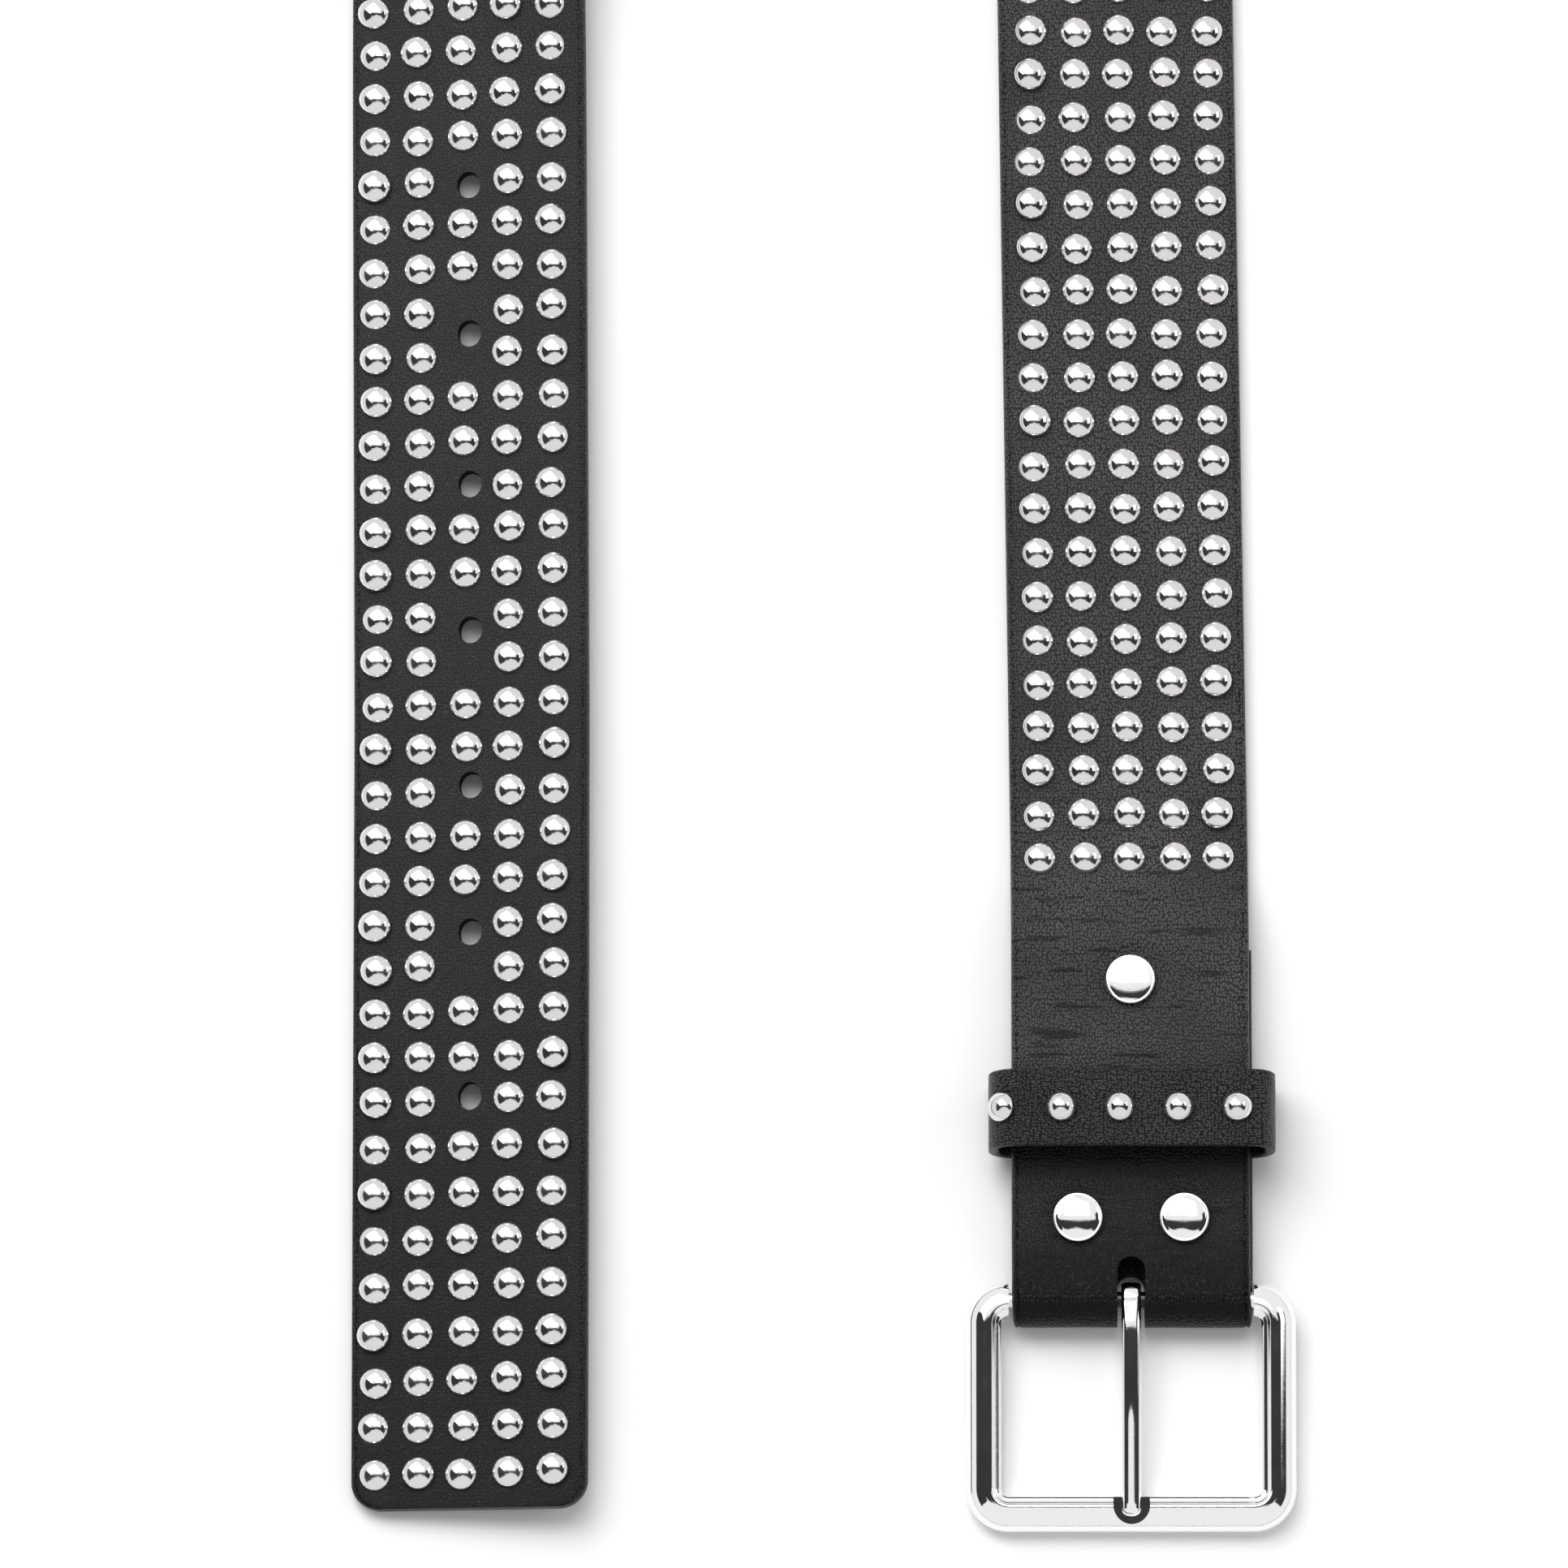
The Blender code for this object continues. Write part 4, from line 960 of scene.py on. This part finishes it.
def make_keeper_stud(index):
    """The profile turned round the keeper's normal where the stud sits.

    normal = (sin t, 0, cos t), tan t = (sin a / w) / (cos a / h) at angle a of a corner w wide and h high
    """
    offset = KEEPER_STUD_SHIFT - KEEPER_SHIFT + KEEPER_STUD_PITCH * (index - (KEEPER_STUDS + 1) / 2)
    past = max(0.0, abs(offset) - (KEEPER_OUTER / 2 - KEEPER_CORNER))
    lean = np.arcsin(past / KEEPER_CORNER)
    tilt = np.sign(offset) * np.arctan2(np.sin(lean) / KEEPER_CORNER, np.cos(lean) / KEEPER_SIDE)
    seat = plan + (LEG_X + KEEPER_SHIFT + offset, KEEPER_Y, KEEPER_TALL - KEEPER_SIDE * (1 - np.cos(lean)))
    up = np.array([np.sin(tilt), 0.0, np.cos(tilt)])
    seat = seat + GAP * up
    side = np.array([np.cos(tilt), 0.0, -np.sin(tilt)])
    turn = np.arange(KEEPER_STUD_SIDES) * 2 * pi / KEEPER_STUD_SIDES
    radius, high = KEEPER_STUD_PROFILE[:, :1, None], KEEPER_STUD_PROFILE[:, 1:, None]
    outward = np.cos(turn)[:, None] * side + np.sin(turn)[:, None] * (0, 1, 0)
    ring = radius * outward + high * up
    points = np.concatenate([ring.reshape(-1, 3), [up * KEEPER_STUD_HIGH]]) + seat
    faces = turned_faces(len(KEEPER_STUD_PROFILE), KEEPER_STUD_SIDES)
    stud = mesh_piece(f"keeper_stud_{index}_turned", points, faces, STUD_METAL)
    stud.data.set_sharp_from_angle(angle=radians(60))
    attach(stud, "belt_body")
    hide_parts(f"keeper_stud_{index}")


for index in range(1, KEEPER_STUDS + 1):
    make_keeper_stud(index)

# Heel bar
# The solid as it is: a plain straight bar. Where the fold covers it, its colour is painted dark, painted
# shade inside the fold.

BAR_BRIGHT, BAR_FOLD_SHADE = (0.80, 0.80, 0.81), (0.03, 0.03, 0.03)
BAR_METAL = metal("bar_metal", BAR_BRIGHT, 0.12, 0.000003)
tree = BAR_METAL.node_tree
place = node(tree, "ShaderNodeTexCoord").outputs["Object"]
apart = node(tree, "ShaderNodeSeparateXYZ", in_0=place).outputs[0]
off_middle = math_node(tree, "ABSOLUTE", math_node(tree, "SUBTRACT", apart, float(bar[0])))
# painted shade: where the fold covers the bar its colour is made nearly black
in_fold_shade = math_node(tree, "LESS_THAN", off_middle, HALF - 0.0002)
shade = node(tree, "ShaderNodeMix", data_type="RGBA", in_0=in_fold_shade)
shade.inputs[6].default_value = (*BAR_BRIGHT, 1)
shade.inputs[7].default_value = (*BAR_FOLD_SHADE, 1)
tree.links.new(shade.outputs[2], tree.nodes["Principled BSDF"].inputs["Base Color"])
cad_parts["heel_bar"].material_slots[0].material = BAR_METAL

# Surface and light
# A plain white surface under three soft panels of light, inside a tent of white cloth. The tent and the dark
# cards in it are only mirrored: the cards draw the dark lines in the metal.


def set_material(name, **inputs):
    """A material of the set, with these inputs of its shader."""
    made = bpy.data.materials.new(name)
    made.use_nodes = True
    shader = made.node_tree.nodes["Principled BSDF"]
    for key, value in inputs.items():
        shader.inputs[key.replace("_", " ")].default_value = value
    return made


def set_sheet(name, points, faces, material, mirrored_only):
    """A sheet of the set. One that is mirrored only isn't seen, lights nothing dull and casts no shadow."""
    mesh = bpy.data.meshes.new(name)
    mesh.from_pydata(points, [], faces)
    mesh.materials.append(material)
    made = bpy.data.objects.new(name, mesh)
    bpy.context.scene.collection.objects.link(made)
    if mirrored_only:
        made.visible_camera = made.visible_diffuse = made.visible_shadow = False


FLOOR_HALF, FLOOR_LOW = 8, -0.0001
PAPER = set_material("floor", Base_Color=(0.94, 0.94, 0.94, 1), Roughness=0.7)
signs = ((-1, -1), (1, -1), (1, 1), (-1, 1))
floor_corners = [(i * FLOOR_HALF, j * FLOOR_HALF, FLOOR_LOW) for i, j in signs]
set_sheet("floor", floor_corners, [(0, 1, 2, 3)], PAPER, False)

PANEL_AWAY = 2.3
PANELS = (  # name, azimuth and angle off upright it is seen at, size, radiance
    ("key", 130, 36, (1.8, 1.3), 4.4),
    ("fill", 12, 50, (0.9, 0.7), 1.5),
    ("overhead", 88, 15, (1.1, 0.75), 4.6),
)
for name, azimuth, off, (wide, high), radiance in PANELS:
    light = bpy.data.lights.new(name, "AREA")
    light.shape = "RECTANGLE"
    light.size, light.size_y = wide, high
    light.energy = radiance * pi * wide * high
    lamp = bpy.data.objects.new(name, light)
    bpy.context.scene.collection.objects.link(lamp)
    way, tilt = radians(azimuth), radians(off)
    outward = mathutils.Vector((sin(tilt) * cos(way), sin(tilt) * sin(way), cos(tilt)))
    lamp.location = outward * PANEL_AWAY
    lamp.rotation_euler = outward.to_track_quat("Z", "Y").to_euler()
    lamp.visible_camera = False

DARK_CARD = set_material(
    "black_card",
    Base_Color=(0.004, 0.004, 0.004, 1),
    Roughness=1.0,
    Specular_IOR_Level=0.0,
    Emission_Color=(0.035, 0.034, 0.035, 1),
    Emission_Strength=1.0,
)
CARD_AWAY = 4.2
CARD_STEPS = 48
CARDS = (  # name, azimuths from and to, angles off upright from and to
    ("card_left", 158, 214, 26, 62),
    ("card_right", -34, 22, 25, 62),
    ("card_low", -180, 180, 88.2, 89.6),
)
for name, start, end, near, off in CARDS:
    turn = np.radians(np.linspace(start, end, CARD_STEPS + 1))
    tilt = np.radians(np.array([near, off]))[:, None]
    ring = [np.sin(tilt) * np.cos(turn), np.sin(tilt) * np.sin(turn), np.cos(tilt) + 0 * turn]
    points = CARD_AWAY * np.stack(ring, 2).reshape(-1, 3)
    above = CARD_STEPS + 1
    faces = [(i, i + 1, i + 1 + above, i + above) for i in range(CARD_STEPS)]
    set_sheet(name, points.tolist(), faces, DARK_CARD, True)

# The card overhead draws the band in the rivets and the line in the frame's front. It has a bay in its front
# edge, so that it stays narrow in the tongue.
OVERHEAD_HIGH = 6.0
OVERHEAD_BACK = [(-4.6, -0.4), (-3.2, 0.32), (3.2, 0.32), (4.6, -0.4)]
OVERHEAD_FRONT, BAY_DEEP, BAY_WIDE = -1.1, 0.62, 0.9
front = np.linspace(3.4, -3.4, 25)
front_edge = OVERHEAD_FRONT + BAY_DEEP * np.exp(-((front / BAY_WIDE) ** 2))
ring = OVERHEAD_BACK + list(zip(front.tolist(), front_edge.tolist()))
corners = [(x, y, OVERHEAD_HIGH) for x, y in ring]
set_sheet("card_overhead", corners, [tuple(range(len(ring)))], DARK_CARD, True)

TENT_CLOTH = set_material(
    "tent_cloth",
    Base_Color=(0, 0, 0, 1),
    Emission_Color=(0.88, 0.88, 0.89, 1),
    Emission_Strength=1.0,
)
TENT_RADIUS = 9
TENT_TURNS, TENT_RINGS = 36, 12
turn = 2 * pi / TENT_TURNS * np.arange(TENT_TURNS)
turn, lift = np.meshgrid(turn, np.radians(np.linspace(90, 3, TENT_RINGS)))
ring = [np.sin(lift) * np.cos(turn), np.sin(lift) * np.sin(turn), np.cos(lift)]
points = TENT_RADIUS * np.stack(ring, 2).reshape(-1, 3)
faces = []
for low in range(0, (TENT_RINGS - 1) * TENT_TURNS, TENT_TURNS):
    for i in range(TENT_TURNS):
        j = (i + 1) % TENT_TURNS
        high = low + TENT_TURNS
        faces.append((low + i, high + i, high + j, low + j))
faces.append(tuple((TENT_RINGS - 1) * TENT_TURNS + i for i in range(TENT_TURNS)))
set_sheet("tent", points.tolist(), faces, TENT_CLOTH, True)

world = bpy.data.worlds.new("world")
world.use_nodes = True
background = world.node_tree.nodes["Background"]
background.inputs["Color"].default_value = (0.50, 0.50, 0.505, 1)
background.inputs["Strength"].default_value = 1.0
bpy.context.scene.world = world
bpy.context.scene.view_settings.view_transform = "Standard"
